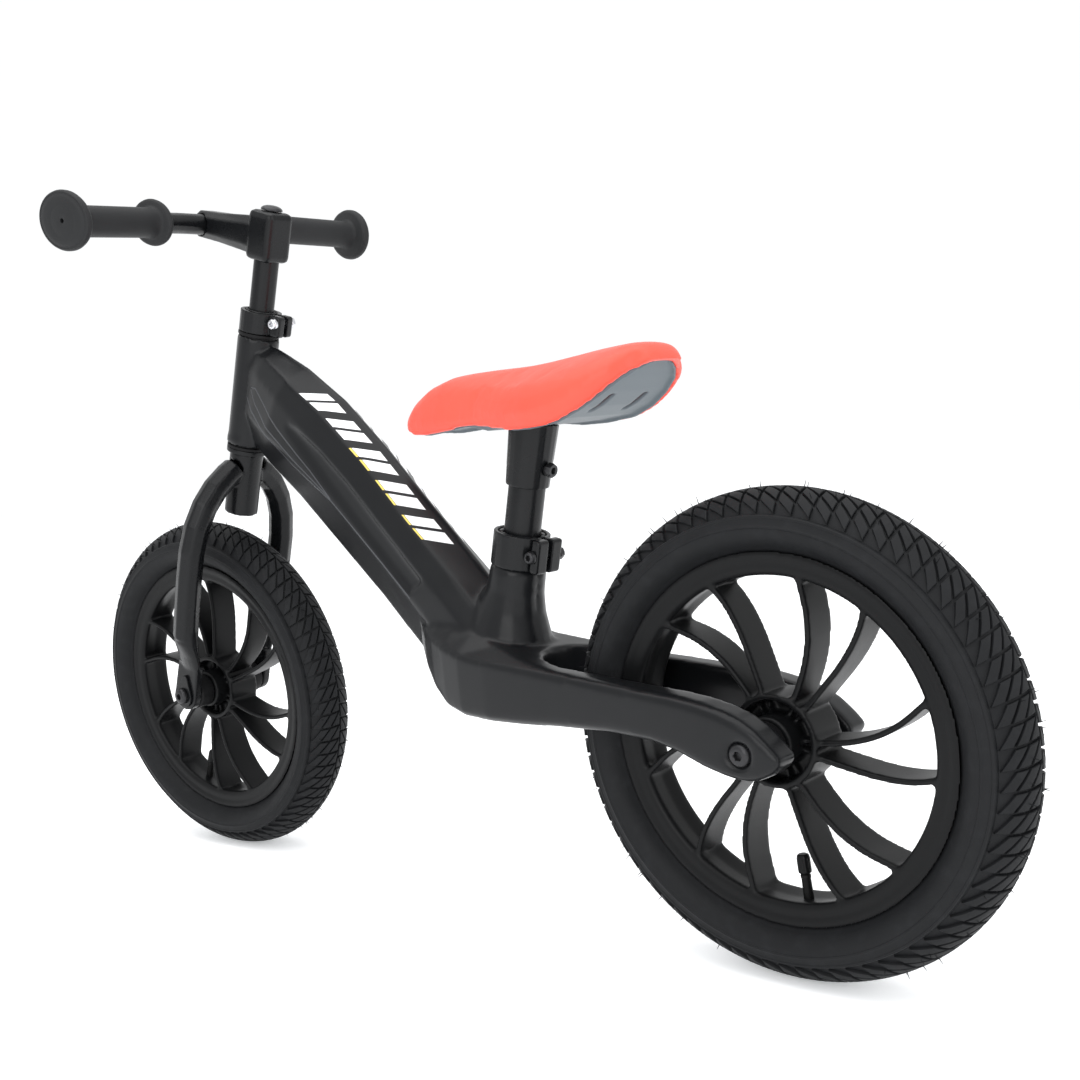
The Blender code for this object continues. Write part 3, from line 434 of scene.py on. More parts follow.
def eased(points, radius=0.6, cuts=3):
    """A profile with every inner corner rounded."""
    made = [points[0]]
    for before, corner, after in zip(points, points[1:], points[2:]):
        corner = Vector(corner)
        back = Vector(before) - corner
        on = Vector(after) - corner
        reach = min(radius, back.length * 0.45, on.length * 0.45)
        start = corner + back.normalized() * reach
        stop = corner + on.normalized() * reach
        for i in range(cuts + 1):
            part = i / cuts
            first = start.lerp(corner, part)
            made.append(tuple(first.lerp(corner.lerp(stop, part), part)))
    return made + [points[-1]]


def added(target, extra):
    """Put one bmesh into another."""
    mesh = bpy.data.meshes.new("extra")
    extra.to_mesh(mesh)
    extra.free()
    target.from_mesh(mesh)
    bpy.data.meshes.remove(mesh)
    return target


# %% [markdown]
# ## Frame
# On the real bike the head tube, beam, seat tube and both stays come out of one mould, so no edge
# is sharp. The fixed model has flat facets. A voxel skin over it, smoothed, gives the cast look.

# %% Frame casting
casting = skinned(copied("frame"), 1.8, 8)
piece("frame_casting", casting, CAST_COAT, "frame", "satin_black_cast", "frame", sharp=60)

# %% [markdown]
# ## Fork
# Two bent legs are welded to a steering tube and pressed flat at their ends. The same skin rounds
# the welds at the crown.

# %% Fork weldment
weldment = skinned(copied("fork"), 1.1, 5)
piece("fork_weldment", weldment, TUBE_PAINT, "fork", "satin_black_paint", "fork", sharp=60)
ring = spun(eased([(13, 218.3), (13, 222), (16.9, 222), (16.9, 218.3), (13, 218.3)], 0.5), FORK)
piece("crown_race", ring, TUBE_PAINT, "fork", "satin_black_paint", "crown_ring")


# %% Headset bushes
def bush(name, node, low, high, lip_low, lip_high):
    """Flanged bush on the head tube's line."""
    if lip_high > high:
        profile = [
            (13.0, low), (13.0, lip_high), (16.8, lip_high), (16.8, lip_low), (14.9, lip_low), (14.9, low),
            (13.0, low),
        ]
    else:
        profile = [
            (13.0, lip_low), (13.0, high), (14.9, high), (14.9, lip_high), (16.8, lip_high), (16.8, lip_low),
            (13.0, lip_low),
        ]
    piece(name, spun(eased(profile, 0.4), HEAD), DULL_PLASTIC, "frame", "grey_nylon", node)


bush("upper_bush", "upper_head_bush", 301, 316.3, 316.3, 318.7)
bush("lower_bush", "lower_head_bush", 224.7, 240, 222.3, 224.7)

# %% [markdown]
# ## Wheels
# Each wheel is one nylon moulding: a hub with ribs, twelve curved blades in pairs, and a rim. The
# blades lean past the radius, so each is drawn as a curve in the wheel's plane, pulled out to its
# width along the axle and given a thickness. The skin then joins all of it and rounds the roots.

# %% Hub and rim
PAIRS = 6
LOW_BLADE = [(25, 4.0), (44, 2.0), (62, -1.5), (78, -6.0), (90, -10.0), (100, -12.9)]
HIGH_BLADE = [(25, 21.5), (44, 20.0), (62, 18.9), (78, 17.0), (90, 14.8), (100, 12.2)]
HUB = [
    (28.2, 15.2), (28.2, -15.2), (25.0, -15.2), (24.2, -13), (24.2, -3.5), (16.4, -3.5), (16, -5),
    (16, -21), (11.3, -21), (11.3, -13.7), (7, -13.7), (7, 13.7), (11.3, 13.7), (11.3, 21), (16, 21),
    (16, 5), (16.4, 3.5), (24.2, 3.5), (24.2, 13), (25.0, 15.2), (28.2, 15.2),
]
RIM = [
    (112.3, 15.9), (110.5, 13.6), (108.5, 11.6), (104, 8), (104, -8), (108.5, -11.6), (110.5, -13.6),
    (112.3, -15.9), (111.2, -16.2), (106.4, -15.3), (105.7, -14.6), (100.6, -14.5), (99.6, -14.2),
    (97.6, -12.9), (97.0, -11.5), (98.4, 0), (97.0, 11.5), (97.6, 12.9), (99.6, 14.2), (100.6, 14.5),
    (105.7, 14.6), (106.4, 15.3), (111.2, 16.2), (112.3, 15.9),
]


def polar(radius, degrees):
    """Point in the wheel's plane; the plane is X and Z."""
    turn = math.radians(degrees)
    return Vector((radius * math.cos(turn), 0, radius * math.sin(turn)))


def curve_through(stations, count):
    """Smooth curve through stations, as count + 1 points."""
    made = []
    last = len(stations) - 1
    for i in range(count + 1):
        where = i / count * last
        k = min(int(where), last - 1)
        t = where - k
        a, b, c, d = (Vector(stations[min(max(k + j, 0), last)]) for j in (-1, 0, 1, 2))
        bend = (2 * a - 5 * b + 4 * c - d) * t * t + (3 * b - a - 3 * c + d) * t ** 3
        made.append(0.5 * (2 * b + (c - a) * t + bend))
    return made


def blade(stations, phase, width=26.5, thickness=3.5):
    """One blade: a curve pulled out along the axle and thickened."""
    shape = bmesh.new()
    points = [polar(radius, phase + lean) for radius, lean in curve_through(stations, 20)]
    corners = [shape.verts.new(point - Vector((0, width / 2, 0))) for point in points]
    edges = [shape.edges.new(pair) for pair in zip(corners, corners[1:])]
    pulled = bmesh.ops.extrude_edge_only(shape, edges=edges)["geom"]
    moved = [v for v in pulled if isinstance(v, bmesh.types.BMVert)]
    bmesh.ops.translate(shape, vec=(0, width, 0), verts=moved)
    bmesh.ops.recalc_face_normals(shape, faces=shape.faces)
    for vertex in shape.verts:
        vertex.normal_update()
    for vertex in shape.verts:
        vertex.co -= vertex.normal * thickness / 2
    bmesh.ops.solidify(shape, geom=shape.faces[:], thickness=-thickness)
    bmesh.ops.recalc_face_normals(shape, faces=shape.faces)
    bmesh.ops.transform(shape, matrix=MILLIMETRES, verts=shape.verts)
    return shape


def hub_rib(angle):
    """Thin radial rib between the boss and the hub ring."""
    shape = bmesh.new()
    bmesh.ops.create_cube(shape, size=1)
    bmesh.ops.scale(shape, vec=(11, 18, 2.2), verts=shape.verts)
    bmesh.ops.translate(shape, vec=(20, 0, 0), verts=shape.verts)
    bmesh.ops.rotate(shape, matrix=Matrix.Rotation(math.radians(-angle), 3, "Y"), verts=shape.verts)
    bmesh.ops.transform(shape, matrix=MILLIMETRES, verts=shape.verts)
    return shape


def moulded_wheel(phase):
    """Hub, blades and rim in one skin, with the axle along Y through the origin."""
    solids = spun(eased(HUB, 0.5, 2), SIDEWAYS, 120)
    added(solids, spun(eased(RIM, 0.5, 2), SIDEWAYS, 200))
    for pair in range(PAIRS):
        for stations in (LOW_BLADE, HIGH_BLADE):
            angle = phase + pair * 60
            added(solids, blade(stations, angle))
            added(solids, hub_rib(angle + stations[0][1]))
    return skinned(solids, 1.35, 3)


REAR_PHASE = 55.0
FRONT_PHASE = 3.5
for word, place, phase in (("rear", REAR, REAR_PHASE), ("front", FORK, FRONT_PHASE)):
    wheel = moulded_wheel(phase)
    bmesh.ops.transform(wheel, matrix=place, verts=wheel.verts)
    body = f"{word}_wheel"
    piece(f"{word}_wheel_moulding", wheel, PLASTIC, body, "black_plastic", body, sharp=50)

# %% [markdown]
# ## Tyres
# A tyre is a plain carcass with blocks on it. The blocks lie between grooves that run across the
# tread and lines that run down from the crown to both shoulders, so each is a slanted
# four-sided block. One block is modelled flat, and copies of it are bent onto the crown. Its
# thin rubber hairs, which the mould's vents leave on a new tyre, are cones.

# %% Carcass
CROWN_RADIUS = 120.2
CROWN_SIDE = 24.3
CROWN_RISE = 27.2
GROOVE_DEPTH = 2.0
PITCHES = 76
SHOULDER = math.radians(61)


def on_tread(turn, across, height):
    """Point on the tread: turn round the wheel in radians, -1 to 1 across, height over the grooves."""
    lean = across * SHOULDER
    side = (CROWN_SIDE - GROOVE_DEPTH + height) * math.sin(lean)
    radius = CROWN_RADIUS + (CROWN_RISE - GROOVE_DEPTH + height) * math.cos(lean)
    return Vector((radius * math.cos(turn), side, radius * math.sin(turn)))


def carcass():
    """Turned tyre body with its shoulder and sidewall lines, open towards the rim."""
    outer = [
        (110.2, 9.0), (110.0, 12.4), (112.9, 15.2), (113.6, 16.6), (115.6, 19.3), (118.4, 22.0),
        (121.4, 23.5),
        (124.0, 24.1), (125.0, 24.15), (125.5, 24.6), (126.4, 24.65), (127.0, 24.1), (129.0, 23.6),
        (130.6, 23.1), (131.2, 23.35), (132.2, 23.1), (132.7, 22.0),
    ]
    crown = []
    for i in range(13):
        point = on_tread(0, 0.98 * (1 - i / 12), 0)
        crown.append((point.x, point.y))
    half = outer + crown
    inside = [(141.5, 0), (139, 12.5), (127, 20.6), (116, 16.4)]
    closed = half + [(r, -y) for r, y in half[-2::-1]] + [(r, -y) for r, y in inside[:0:-1]] + inside
    return spun([(r, y) for r, y in closed], SIDEWAYS, 190)


# %% Tread blocks
def block_template():
    """A flat block from -1 to 1 both ways: top, rounded rim, walls and floor, in its Z its height."""
    shape = bmesh.new()
    bmesh.ops.create_grid(shape, x_segments=2, y_segments=3, size=1)
    top = list(shape.faces)
    for scale, drop in ((1.09, -0.35), (1.13, -2.5)):
        rim = [edge for edge in shape.edges if edge.is_boundary]
        new = bmesh.ops.extrude_edge_only(shape, edges=rim)["geom"]
        moved = [v for v in new if isinstance(v, bmesh.types.BMVert)]
        bmesh.ops.translate(shape, vec=(0, 0, drop), verts=moved)
        reach = max(abs(v.co.x) for v in moved)
        bmesh.ops.scale(shape, vec=(scale / reach, scale / reach, 1), verts=moved)
    bmesh.ops.holes_fill(shape, edges=[e for e in shape.edges if e.is_boundary], sides=0)
    bmesh.ops.recalc_face_normals(shape, faces=shape.faces)
    bmesh.ops.scale(shape, vec=(1 / 1.13, 1 / 1.13, 1), verts=shape.verts)
    mesh = bpy.data.meshes.new("block_template")
    shape.to_mesh(mesh)
    shape.free()
    return mesh


# Corners of the blocks of one pitch, as (pitch, across): start low, start high, end low, end high
LINES = (0.06, 0.38, 0.70)
RISE = 0.30


def pitch_blocks():
    """The blocks between two cross grooves, on the left half of the tread."""
    blocks = []
    edges = [0.0] + list(LINES)
    for k, low in enumerate(edges):
        high = edges[k + 1] if k + 1 < len(edges) else 1.0
        lift = RISE if k else 0.0
        top_lift = RISE if k + 1 < len(edges) else 0.0
        blocks.append(((0, low), (0, high), (1, low + lift), (1, min(high + top_lift, 1.0))))
    return [b for b in blocks if b[3][1] - b[2][1] > 0.03]


def tread():
    """All blocks of one tyre, with their grooves left clear."""
    template = block_template()
    shape = bmesh.new()
    step = math.tau / PITCHES
    for pitch in range(PITCHES):
        for side in (1, -1):
            for corners in pitch_blocks():
                before = len(shape.verts)
                shape.from_mesh(template)
                shape.verts.ensure_lookup_table()
                inset_turn, inset_across = 0.065, 0.028
                for vertex in shape.verts[before:]:
                    a = (vertex.co.x + 1) / 2
                    b = (vertex.co.y + 1) / 2
                    low = corners[0][1] * (1 - a) + corners[2][1] * a + inset_across
                    high = corners[1][1] * (1 - a) + corners[3][1] * a - inset_across
                    across = low + (high - low) * b
                    turn = inset_turn + a * (1 - 2 * inset_turn) + 0.35 * across + (0.5 if side < 0 else 0)
                    height = GROOVE_DEPTH + vertex.co.z
                    vertex.co = on_tread((pitch + turn) * step, side * across, height)
                if side < 0:
                    faces = {f for v in shape.verts[before:] for f in v.link_faces}
                    bmesh.ops.reverse_faces(shape, faces=list(faces))
    bmesh.ops.transform(shape, matrix=MILLIMETRES, verts=shape.verts)
    bpy.data.meshes.remove(template)
    return shape


def vent_hairs(seed, down, count=110):
    """Thin tapered hairs standing on the tread, none where the tyre meets the ground."""
    chance = random.Random(seed)
    shape = bmesh.new()
    while count:
        turn = chance.uniform(0, 360)
        if abs((turn - down + 180) % 360 - 180) < 20:
            continue
        count -= 1
        across = chance.uniform(-0.75, 0.75)
        root = on_tread(math.radians(turn), across, GROOVE_DEPTH - 0.3)
        tip = on_tread(math.radians(turn), across, GROOVE_DEPTH + chance.uniform(2.0, 4.2))
        tip += Vector([chance.uniform(-0.9, 0.9) for _ in range(3)])
        way = (tip - root).to_track_quat("Z", "Y").to_matrix().to_4x4()
        way.translation = (root + tip) / 2
        length = (tip - root).length
        bmesh.ops.create_cone(
            shape, cap_ends=True, segments=5, radius1=0.33, radius2=0.12, depth=length, matrix=way,
        )
    bmesh.ops.transform(shape, matrix=MILLIMETRES, verts=shape.verts)
    return shape


for word, place, seed, down in (("rear", REAR, 3, 270), ("front", FORK, 4, 249)):
    shapes = (("carcass", carcass()), ("tread", tread()), ("vent_hairs", vent_hairs(seed, down)))
    for name, shape in shapes:
        bmesh.ops.transform(shape, matrix=place, verts=shape.verts)
        stands = [f"{word}_tyre"] if name == "carcass" else []
        piece(f"{word}_tyre_{name}", shape, TYRE_RUBBER, f"{word}_wheel", "tyre_rubber", *stands, sharp=34)

# %% [markdown]
# ## Bolts and nuts
# A bolt is a turned profile. Its socket and a nut's sides are six-sided, so those rings are turned
# round first and their points are then moved out to a hexagon, which keeps the mesh clean.

# %% Hexagons, bolts and nuts
def at(x, y, z):
    """Move by millimetres."""
    return Matrix.Translation((x / 1000, y / 1000, z / 1000))


def about(axis, degrees):
    """Turn about a line through the origin."""
    return Matrix.Rotation(math.radians(degrees), 4, axis)


def hexed(shape, radius):
    """Move every ring of one radius in millimetres out to the hexagon round it."""
    for vertex in shape.verts:
        if abs(vertex.co.xy.length * 1000 - radius) < 0.01:
            turn = math.degrees(math.atan2(vertex.co.y, vertex.co.x)) % 60 - 30
            vertex.co.xy = vertex.co.xy / math.cos(math.radians(turn))
    return shape


def socket_bolt(place, seat, head, height, shank, tip, key):
    """Round-head bolt: its head sits at seat, its shank ends at tip, and key is its socket's width."""
    top = seat + height
    ring = key / 2
    profile = [
        (0, tip), (shank - 0.5, tip), (shank, tip + 0.5), (shank, seat), (head - 0.3, seat),
        (head, seat + 0.3), (head, seat + height * 0.35), (head * 0.97, seat + height * 0.55),
        (head * 0.88, top - height * 0.22),
        (head * 0.7, top - height * 0.06), (head * 0.55, top), (ring + 0.45, top), (ring, top - 0.35),
        (ring, top - height * 0.65), (0, top - height * 0.65),
    ]
    shape = hexed(spun(profile, Matrix(), 48), ring)
    bmesh.ops.transform(shape, matrix=place, verts=shape.verts)
    return shape


def hex_nut(place, low, high, flats, bore):
    """Hexagonal nut between two heights, with its corners chamfered."""
    side = flats / 2
    profile = [
        (bore, low + 0.4), (bore, high - 0.4), (bore + 0.4, high), (side - 0.1, high), (side, high - 0.5),
        (side, low + 0.5), (side - 0.1, low), (bore + 0.4, low),
    ]
    shape = hexed(spun(profile, Matrix(), 48), side)
    bmesh.ops.transform(shape, matrix=place, verts=shape.verts)
    return shape


# %% [markdown]
# ## Clamps
# Two split collars hold the sliding tubes. Each has a slit, two ears and a bolt across them. The
# head clamp's bolt is bright zinc; the seat clamp's is black.

# %% Head and seat clamps
CLAMPS = (
    ("head", FORK @ about("Z", 11) @ at(-20.5, 0, 330.0), "fork", 9.6, ZINC, "zinc_steel", 0.55),
    ("seat", SEAT @ at(-21.6, 0, -12.3), "frame", 12.6, BLACK_OXIDE, "black_oxide_steel", 0.6),
)
for word, place, body, half, metal, slot, voxel in CLAMPS:
    collar = skinned(copied(f"{word}_clamp"), voxel, 3)
    piece(f"{word}_collar", collar, TUBE_PAINT, body, "satin_black_paint", f"{word}_clamp", sharp=50)
    across = place @ SIDEWAYS
    bolt = socket_bolt(across, half + 0.3, 4.4, 4.2, 2.5, -half - 5, 3.6)
    piece(f"{word}_collar_bolt", bolt, metal, body, slot, f"{word}_clamp_bolt")
    nut = hex_nut(across, -half - 4.3, -half - 0.3, 8, 2.8)
    piece(f"{word}_collar_nut", nut, metal, body, slot, f"{word}_clamp_nut")

# %% [markdown]
# ## Stem and handlebar
# The stem post is a plain tube. The head on it is a casting with an arm that carries the bar, and a
# domed bolt closes its top. The bar is a steel tube that sweeps back at both ends.

# %% Stem
post = spun(eased([(7.5, 252), (7.5, 405), (10, 405), (10, 252), (7.5, 252)], 0.4), FORK)
piece("stem_tube", post, TUBE_PAINT, "handlebar", "satin_black_paint", "stem_post")
casting = skinned(copied("stem_head"), 0.75, 4)
piece("stem_casting", casting, TUBE_PAINT, "handlebar", "satin_black_cast", "stem_head", sharp=60)
dome = spun([
    (0, 386), (3.6, 386), (4, 386.4), (4, 414.2), (8.3, 414.2), (8.6, 414.5), (8.5, 415.0), (7.9, 415.9),
    (6.6, 416.8), (4.6, 417.5), (2.4, 417.8), (0, 417.9),
], FORK, 64)
piece("stem_dome_bolt", dome, BLACK_OXIDE, "handlebar", "black_oxide_steel", "stem_top_bolt")

# %% Bar
bar = skinned(copied("handlebar"), 1.0, 4)
piece("handlebar_tube", bar, TUBE_PAINT, "handlebar", "satin_black_paint", "handlebar", sharp=60)

# %% [markdown]
# ## Grips
# A child's grip has a thick rounded flange at its inner end and a big closed pad at its outer end,
# so that small hands can't slip off and the bar's end is covered. Both are wider than they are
# tall. The grip is turned as a round, and the flanges are then stretched forwards.

# %% Grips
GRIP_START = 27.0
GRIP_STOP = 118.5
grip_profile = [
    (8.6, GRIP_START + 0.4), (9.2, GRIP_START), (14.4, GRIP_START), (16.4, GRIP_START + 0.5),
    (17.3, GRIP_START + 1.6),
    (17.6, GRIP_START + 2.9), (17.2, GRIP_START + 4.4), (15.9, GRIP_START + 5.4), (13.6, GRIP_START + 5.9),
    (12.2, GRIP_START + 6.8), (11.6, GRIP_START + 8.6), (11.4, GRIP_START + 14), (11.4, GRIP_STOP - 14),
    (11.6, GRIP_STOP - 8), (12.2, GRIP_STOP - 5.8), (13.6, GRIP_STOP - 4.9), (18.2, GRIP_STOP - 4.4),
    (20.3, GRIP_STOP - 3.4), (21.2, GRIP_STOP - 1.6), (21.3, GRIP_STOP + 0.4), (20.8, GRIP_STOP + 1.8),
    (19.9, GRIP_STOP + 2.5), (19.2, GRIP_STOP + 2.3), (18.5, GRIP_STOP + 2.5), (17.6, GRIP_STOP + 3.3),
    (15.6, GRIP_STOP + 4.0), (12.5, GRIP_STOP + 4.3), (11.6, GRIP_STOP + 4.2), (10.8, GRIP_STOP + 4.4),
    (6, GRIP_STOP + 4.7), (2.6, GRIP_STOP + 4.7), (1.8, GRIP_STOP + 4.3), (1.6, GRIP_STOP + 3.4),
    (1.5, GRIP_STOP + 0.4), (8.6, GRIP_STOP + 0.4),
]


def grip(word, side):
    """One grip; its flanges are stretched and pushed forwards."""
    shape = spun(grip_profile, Matrix(), 128)
    for vertex in shape.verts:
        reach = max(0.0, (vertex.co.xy.length * 1000 - 11.6) / 9.7)
        vertex.co.x *= 1 + 0.2 * min(1.0, reach * 1.6)
        vertex.co.x += 0.0013 * min(1.0, reach * 1.6)
    tilt = about("X", -90 if side > 0 else 90)
    place = FORK @ at(70, side * 31, 390.3) @ about("Z", side * 8) @ tilt
    bmesh.ops.transform(shape, matrix=place, verts=shape.verts)
    bmesh.ops.recalc_face_normals(shape, faces=shape.faces)
    piece(f"{word}_hand_grip", shape, GRIP_RUBBER, "handlebar", "grip_rubber", f"{word}_grip", sharp=50)


grip("left", 1)
grip("right", -1)

# %% [markdown]
# ## Valves
# Each inner tube's valve comes through the rim. It is a metal tube in a rubber coat, with a small
# ribbed plastic cap.

# %% Valve stems and caps
def valve(word, hub, angle):
    """Valve on a line out of the hub; heights are distances from the axle."""
    place = hub @ about("Y", -angle) @ about("Y", 90)
    stem = [
        (0, 115.5), (3, 115.5), (3, 94), (2.8, 86), (3.1, 85.4), (3.1, 84), (2.6, 83.4), (2.2, 83),
        (2.2, 77), (0, 77),
    ]
    tube = spun(stem, place, 32)
    piece(f"{word}_valve_tube", tube, TUBE_RUBBER, f"{word}_wheel", "tube_rubber", f"{word}_valve_stem")
    cap = spun([
        (0, 76.3), (2.7, 76.3), (2.7, 82.6), (3.6, 82.6), (3.9, 82.2), (3.95, 81), (3.85, 80.4), (3.85, 74),
        (3.5, 72), (2.6, 71.1), (0, 70.9),
    ], Matrix(), 60)
    for vertex in cap.verts:
        turn = math.atan2(vertex.co.y, vertex.co.x)
        if vertex.co.xy.length > 0.0034 and vertex.co.z < 0.0805:
            vertex.co.xy *= 1 + 0.035 * math.cos(turn * 15)
    bmesh.ops.transform(cap, matrix=place, verts=cap.verts)
    bmesh.ops.recalc_face_normals(cap, faces=cap.faces)
    piece(f"{word}_valve_cover", cap, PLASTIC, f"{word}_wheel", "black_plastic", f"{word}_valve_cap")


valve("rear", REAR, REAR_PHASE + 210)
valve("front", FORK, FRONT_PHASE + 270)

# %% [markdown]
# ## Axle hardware
# Hollow axles run through both hubs. A nylon spacer fills the gap to the frame or fork on each
# side, and a short socket bolt closes each end. Under the front bolts there are drop-shaped washers
# whose tips stop the wheel from falling out.

# %% Spacers, bolts and washers
ENDS = (("left", 1), ("right", -1))
# Wheel, line, body, where the spacers end, where the bolt heads sit
AXLES = (("front", FORK, "fork", 35.7, 46.6), ("rear", REAR, "frame", 30.7, 47.6))
for word, hub, body, inner, seat in AXLES:
    for hand, side in ENDS:
        place = hub @ about("X", -90 * side)
        spacer = spun(eased([
            (12.5, inner), (14, inner - 1.5), (14, 22.2), (10, 22.2), (9, 21.9), (8.6, 20), (5.3, 20),
            (5.3, inner), (12.5, inner),
        ], 0.4), place, 64)
        node = f"{word}_spacer_{hand}"
        piece(f"{word}_end_spacer_{hand}", spacer, DULL_PLASTIC, body, "black_plastic", node)
        bolt = socket_bolt(place, seat, 7.0, 4.4, 3.0, 10.0, 5.0)
        node = f"{word}_axle_bolt_{hand}"
        piece(f"{word}_end_bolt_{hand}", bolt, BLACK_OXIDE, body, "black_oxide_steel", node)
for hand, side in ENDS:
    washer = skinned(copied(f"front_washer_{hand}"), 0.38, 2)
    node = f"front_washer_{hand}"
    piece(f"drop_washer_{hand}", washer, TUBE_PAINT, "fork", "satin_black_paint", node, sharp=50)

# %% [markdown]
# ## Seat post and bracket
# The post slides in the seat tube. The sleeve at its top carries the saddle, flares a little
# towards it, and is held by one bolt from behind.

# %% Post, bracket and screws
post = spun(eased([(10.5, -86), (10.5, 52), (12.7, 52), (12.7, -86), (10.5, -86)], 0.5), SEAT)
piece("saddle_post", post, TUBE_PAINT, "seat", "satin_black_paint", "seat_post")
sleeve = skinned(copied("saddle_bracket"), 0.7, 4)
piece("saddle_sleeve", sleeve, TUBE_PAINT, "seat", "satin_black_paint", "saddle_bracket", sharp=55)
bolt = hexed(spun([
    (0, 8.5), (2.6, 8.5), (3, 9), (3, 16.5), (4.2, 16.5), (4.3, 17), (4.3, 20.8), (4.1, 21.4), (2.4, 21.4),
    (2.1, 21), (2.1, 18.6), (0, 18.4),
], Matrix(), 48), 4.3)
bmesh.ops.transform(bolt, matrix=SEAT @ at(0, 0, 45.5) @ about("Y", -90), verts=bolt.verts)
piece("sleeve_bolt", bolt, BLACK_OXIDE, "seat", "black_oxide_steel", "saddle_bracket_bolt")
for hand, side in ENDS:
    screw = copied(f"saddle_screw_{hand}")
    piece(f"pan_screw_{hand}", screw, BLACK_OXIDE, "seat", "black_oxide_steel", f"saddle_screw_{hand}")

# %% [markdown]
# ## Saddle
# The saddle is a grey plastic pan under a foam pad with a coral skin. The pad is blown up a little
# with cloth pressure, because a foamed cover is tight and round, not flat, and no point may
# move far, so that it still sits on its pan.

# %% Pan
tray = skinned(copied("saddle_pan"), 1.0, 3)
piece("saddle_tray", tray, PAN_GREY, "seat", "grey_pan", "saddle_pan", sharp=55)


# %% Padded cover
def plumped(shape, voxel, passes, cap):
    """Skin that cloth pressure blows up, with no point moving further than cap in millimetres."""
    skin = skinned(shape, voxel, passes)
    skin.normal_update()
    stays = [vertex.normal.z < -0.15 for vertex in skin.verts]
    mesh = bpy.data.meshes.new("pad")
    skin.to_mesh(mesh)
    skin.free()
    start = [vertex.co.copy() for vertex in mesh.vertices]
    carrier = bpy.data.objects.new("pad", mesh)
    bpy.context.scene.collection.objects.link(carrier)
    air = carrier.modifiers.new("air", "CLOTH")
    air.settings.quality = 5
    air.settings.use_pressure = True
    air.settings.uniform_pressure_force = 4
    air.settings.effector_weights.gravity = 0
    air.point_cache.frame_start = 1
    air.point_cache.frame_end = 20
    for moment in range(1, 21):
        bpy.context.scene.frame_set(moment)
    graph = bpy.context.evaluated_depsgraph_get()
    result = bpy.data.meshes.new_from_object(carrier.evaluated_get(graph))
    bpy.data.objects.remove(carrier)
    bpy.context.scene.frame_set(1)
    made = bmesh.new()
    made.from_mesh(result)
    made.verts.ensure_lookup_table()
    for vertex, origin, still in zip(made.verts, start, stays):
        move = vertex.co - origin
        most = 0.0 if still else cap * 0.001
        if move.length > most:
            vertex.co = origin + move.normalized() * most
    every = {"use_axis_x": True, "use_axis_y": True, "use_axis_z": True}
    bmesh.ops.smooth_vert(made, verts=made.verts, factor=0.3, **every)
    return made


cover = plumped(copied("saddle_pad"), 2.3, 5, 1.6)
cover = piece("saddle_cover", cover, CORAL, "seat", "coral_pad", "saddle_pad", sharp=60)
rounder = cover.modifiers.new("rounder", "SUBSURF")
rounder.levels = 1
rounder.render_levels = 1

# %% [markdown]
# ## Parts that keep their shape
# The inner tubes, bearings, hub sleeves and axles hide inside the wheels, and their turned shapes
# are right as they are. They only get finishes.

# %% Finishes for hidden parts
BEARING_STEEL = plain(
    "bearing_steel", (0.42, 0.42, 0.43), (0.58, 0.58, 0.59), 0.3, 0.12, 1400, 0.00003, Metallic=1.0,
)
hidden = {
    "inner_tube": TUBE_RUBBER, "bearing_left": BEARING_STEEL, "bearing_right": BEARING_STEEL,
    "hub_sleeve": ZINC, "axle": ZINC,
}
for word in ("front", "rear"):
    for ending, finish in hidden.items():
        frame["nodes"][f"{word}_{ending}"].material_slots[0].material = finish
print("hidden parts:", len(hidden) * 2)

# %% [markdown]
# ## Floor, light and camera
# A pale floor and large soft lights give a black object its shape, because what shows on it is
# mostly the reflection of what stands round it.

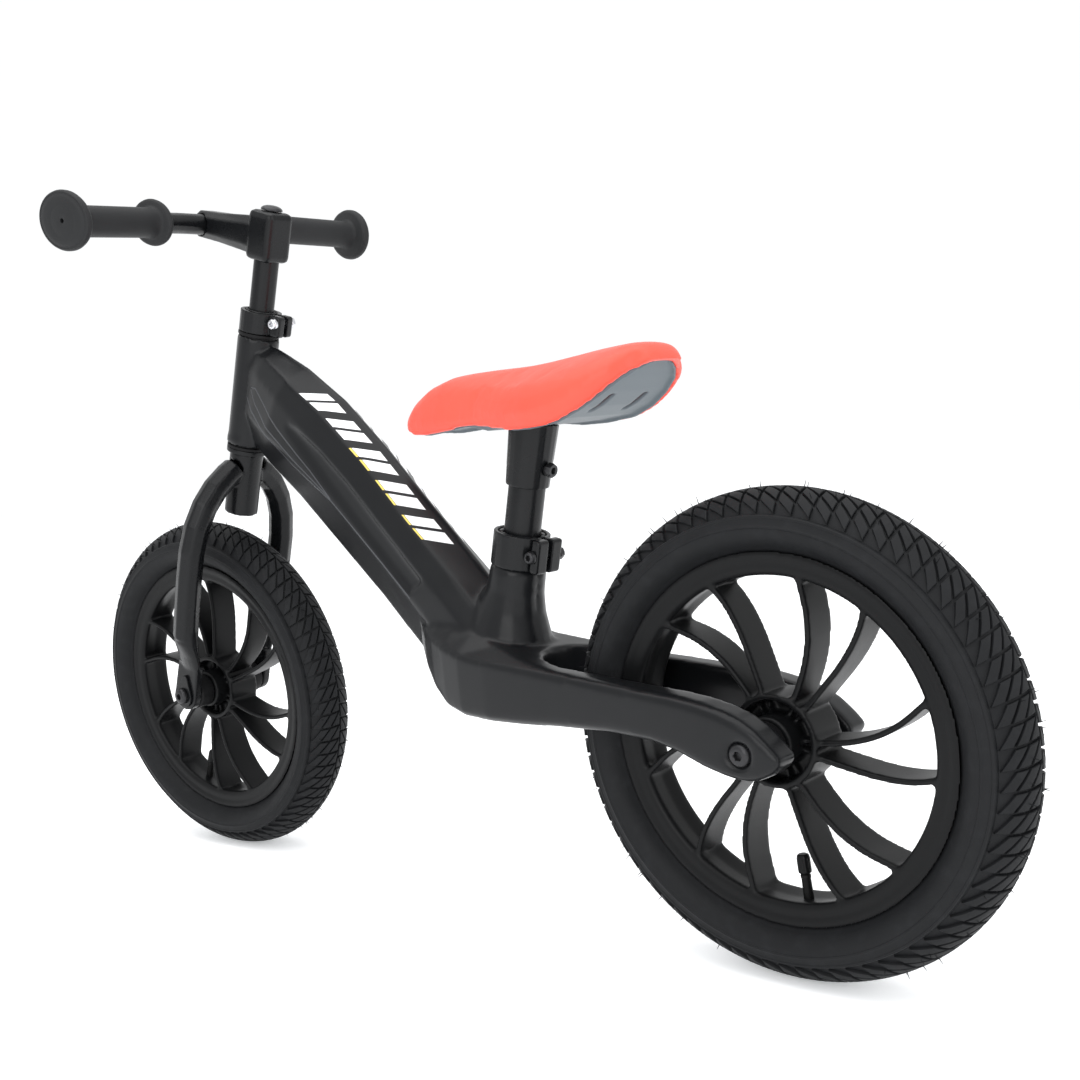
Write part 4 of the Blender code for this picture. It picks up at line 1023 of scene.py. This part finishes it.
# %% Stage
def studio_floor():
    shape = bmesh.new()
    bmesh.ops.create_grid(shape, x_segments=1, y_segments=1, size=30)
    mesh = bpy.data.meshes.new("studio_floor")
    shape.to_mesh(mesh)
    shape.free()
    floor = bpy.data.objects.new("studio_floor", mesh)
    finish = Finish("floor_paper", (0.95, 0.95, 0.955), 0.9)
    finish.shader.inputs["Emission Color"].default_value = (0.95, 0.98, 1.0, 1)
    finish.shader.inputs["Emission Strength"].default_value = 0.3
    mesh.materials.append(finish.wear(finish.mix(finish.noise(2), (0.94, 0.94, 0.945), (0.96, 0.96, 0.965))))
    bpy.context.scene.collection.objects.link(floor)
    return floor


def soft_light(name, place, target, size, power):
    """Square area light that faces a point."""
    lamp = bpy.data.lights.new(name, "AREA")
    lamp.shape = "SQUARE"
    lamp.size = size
    lamp.energy = power
    made = bpy.data.objects.new(name, lamp)
    made.location = place
    made.rotation_euler = (Vector(target) - Vector(place)).to_track_quat("-Z", "Y").to_euler()
    bpy.context.scene.collection.objects.link(made)
    return made


studio_floor()
middle = (0, 0, 0.28)
soft_light("overhead", (-0.2, 0.3, 2.2), middle, 2.4, 38)
soft_light("left_window", (-0.9, 2.2, 1.1), middle, 1.6, 22)
soft_light("rear_window", (-2.2, -0.3, 0.9), middle, 1.4, 10)
world = bpy.data.worlds.new("white_room")
bpy.context.scene.world = world
world.use_nodes = True
world.node_tree.nodes["Background"].inputs["Color"].default_value = (0.985, 0.993, 1.0, 1)
world.node_tree.nodes["Background"].inputs["Strength"].default_value = 1.02
bpy.context.scene.view_settings.view_transform = "Standard"

# %% Camera
camera = bpy.data.cameras.new("camera")
camera.lens = 42.5
camera.shift_x = 0.0675
camera.shift_y = 0.0805
camera.clip_start = 0.02
viewpoint = bpy.data.objects.new("camera", camera)
look = Vector((0.7032, -0.6988, -0.1309)).normalized()
right = Vector((-0.7106, -0.6967, -0.0985)).normalized()
above = right.cross(look)
viewpoint.matrix_world = Matrix((right, above, -look)).transposed().to_4x4()
viewpoint.location = ground + Vector((-0.39328, 0.64482, 0.32764))
bpy.context.scene.collection.objects.link(viewpoint)
bpy.context.scene.camera = viewpoint
print("camera at", [round(v, 3) for v in viewpoint.location])

bpy.context.view_layer.update()
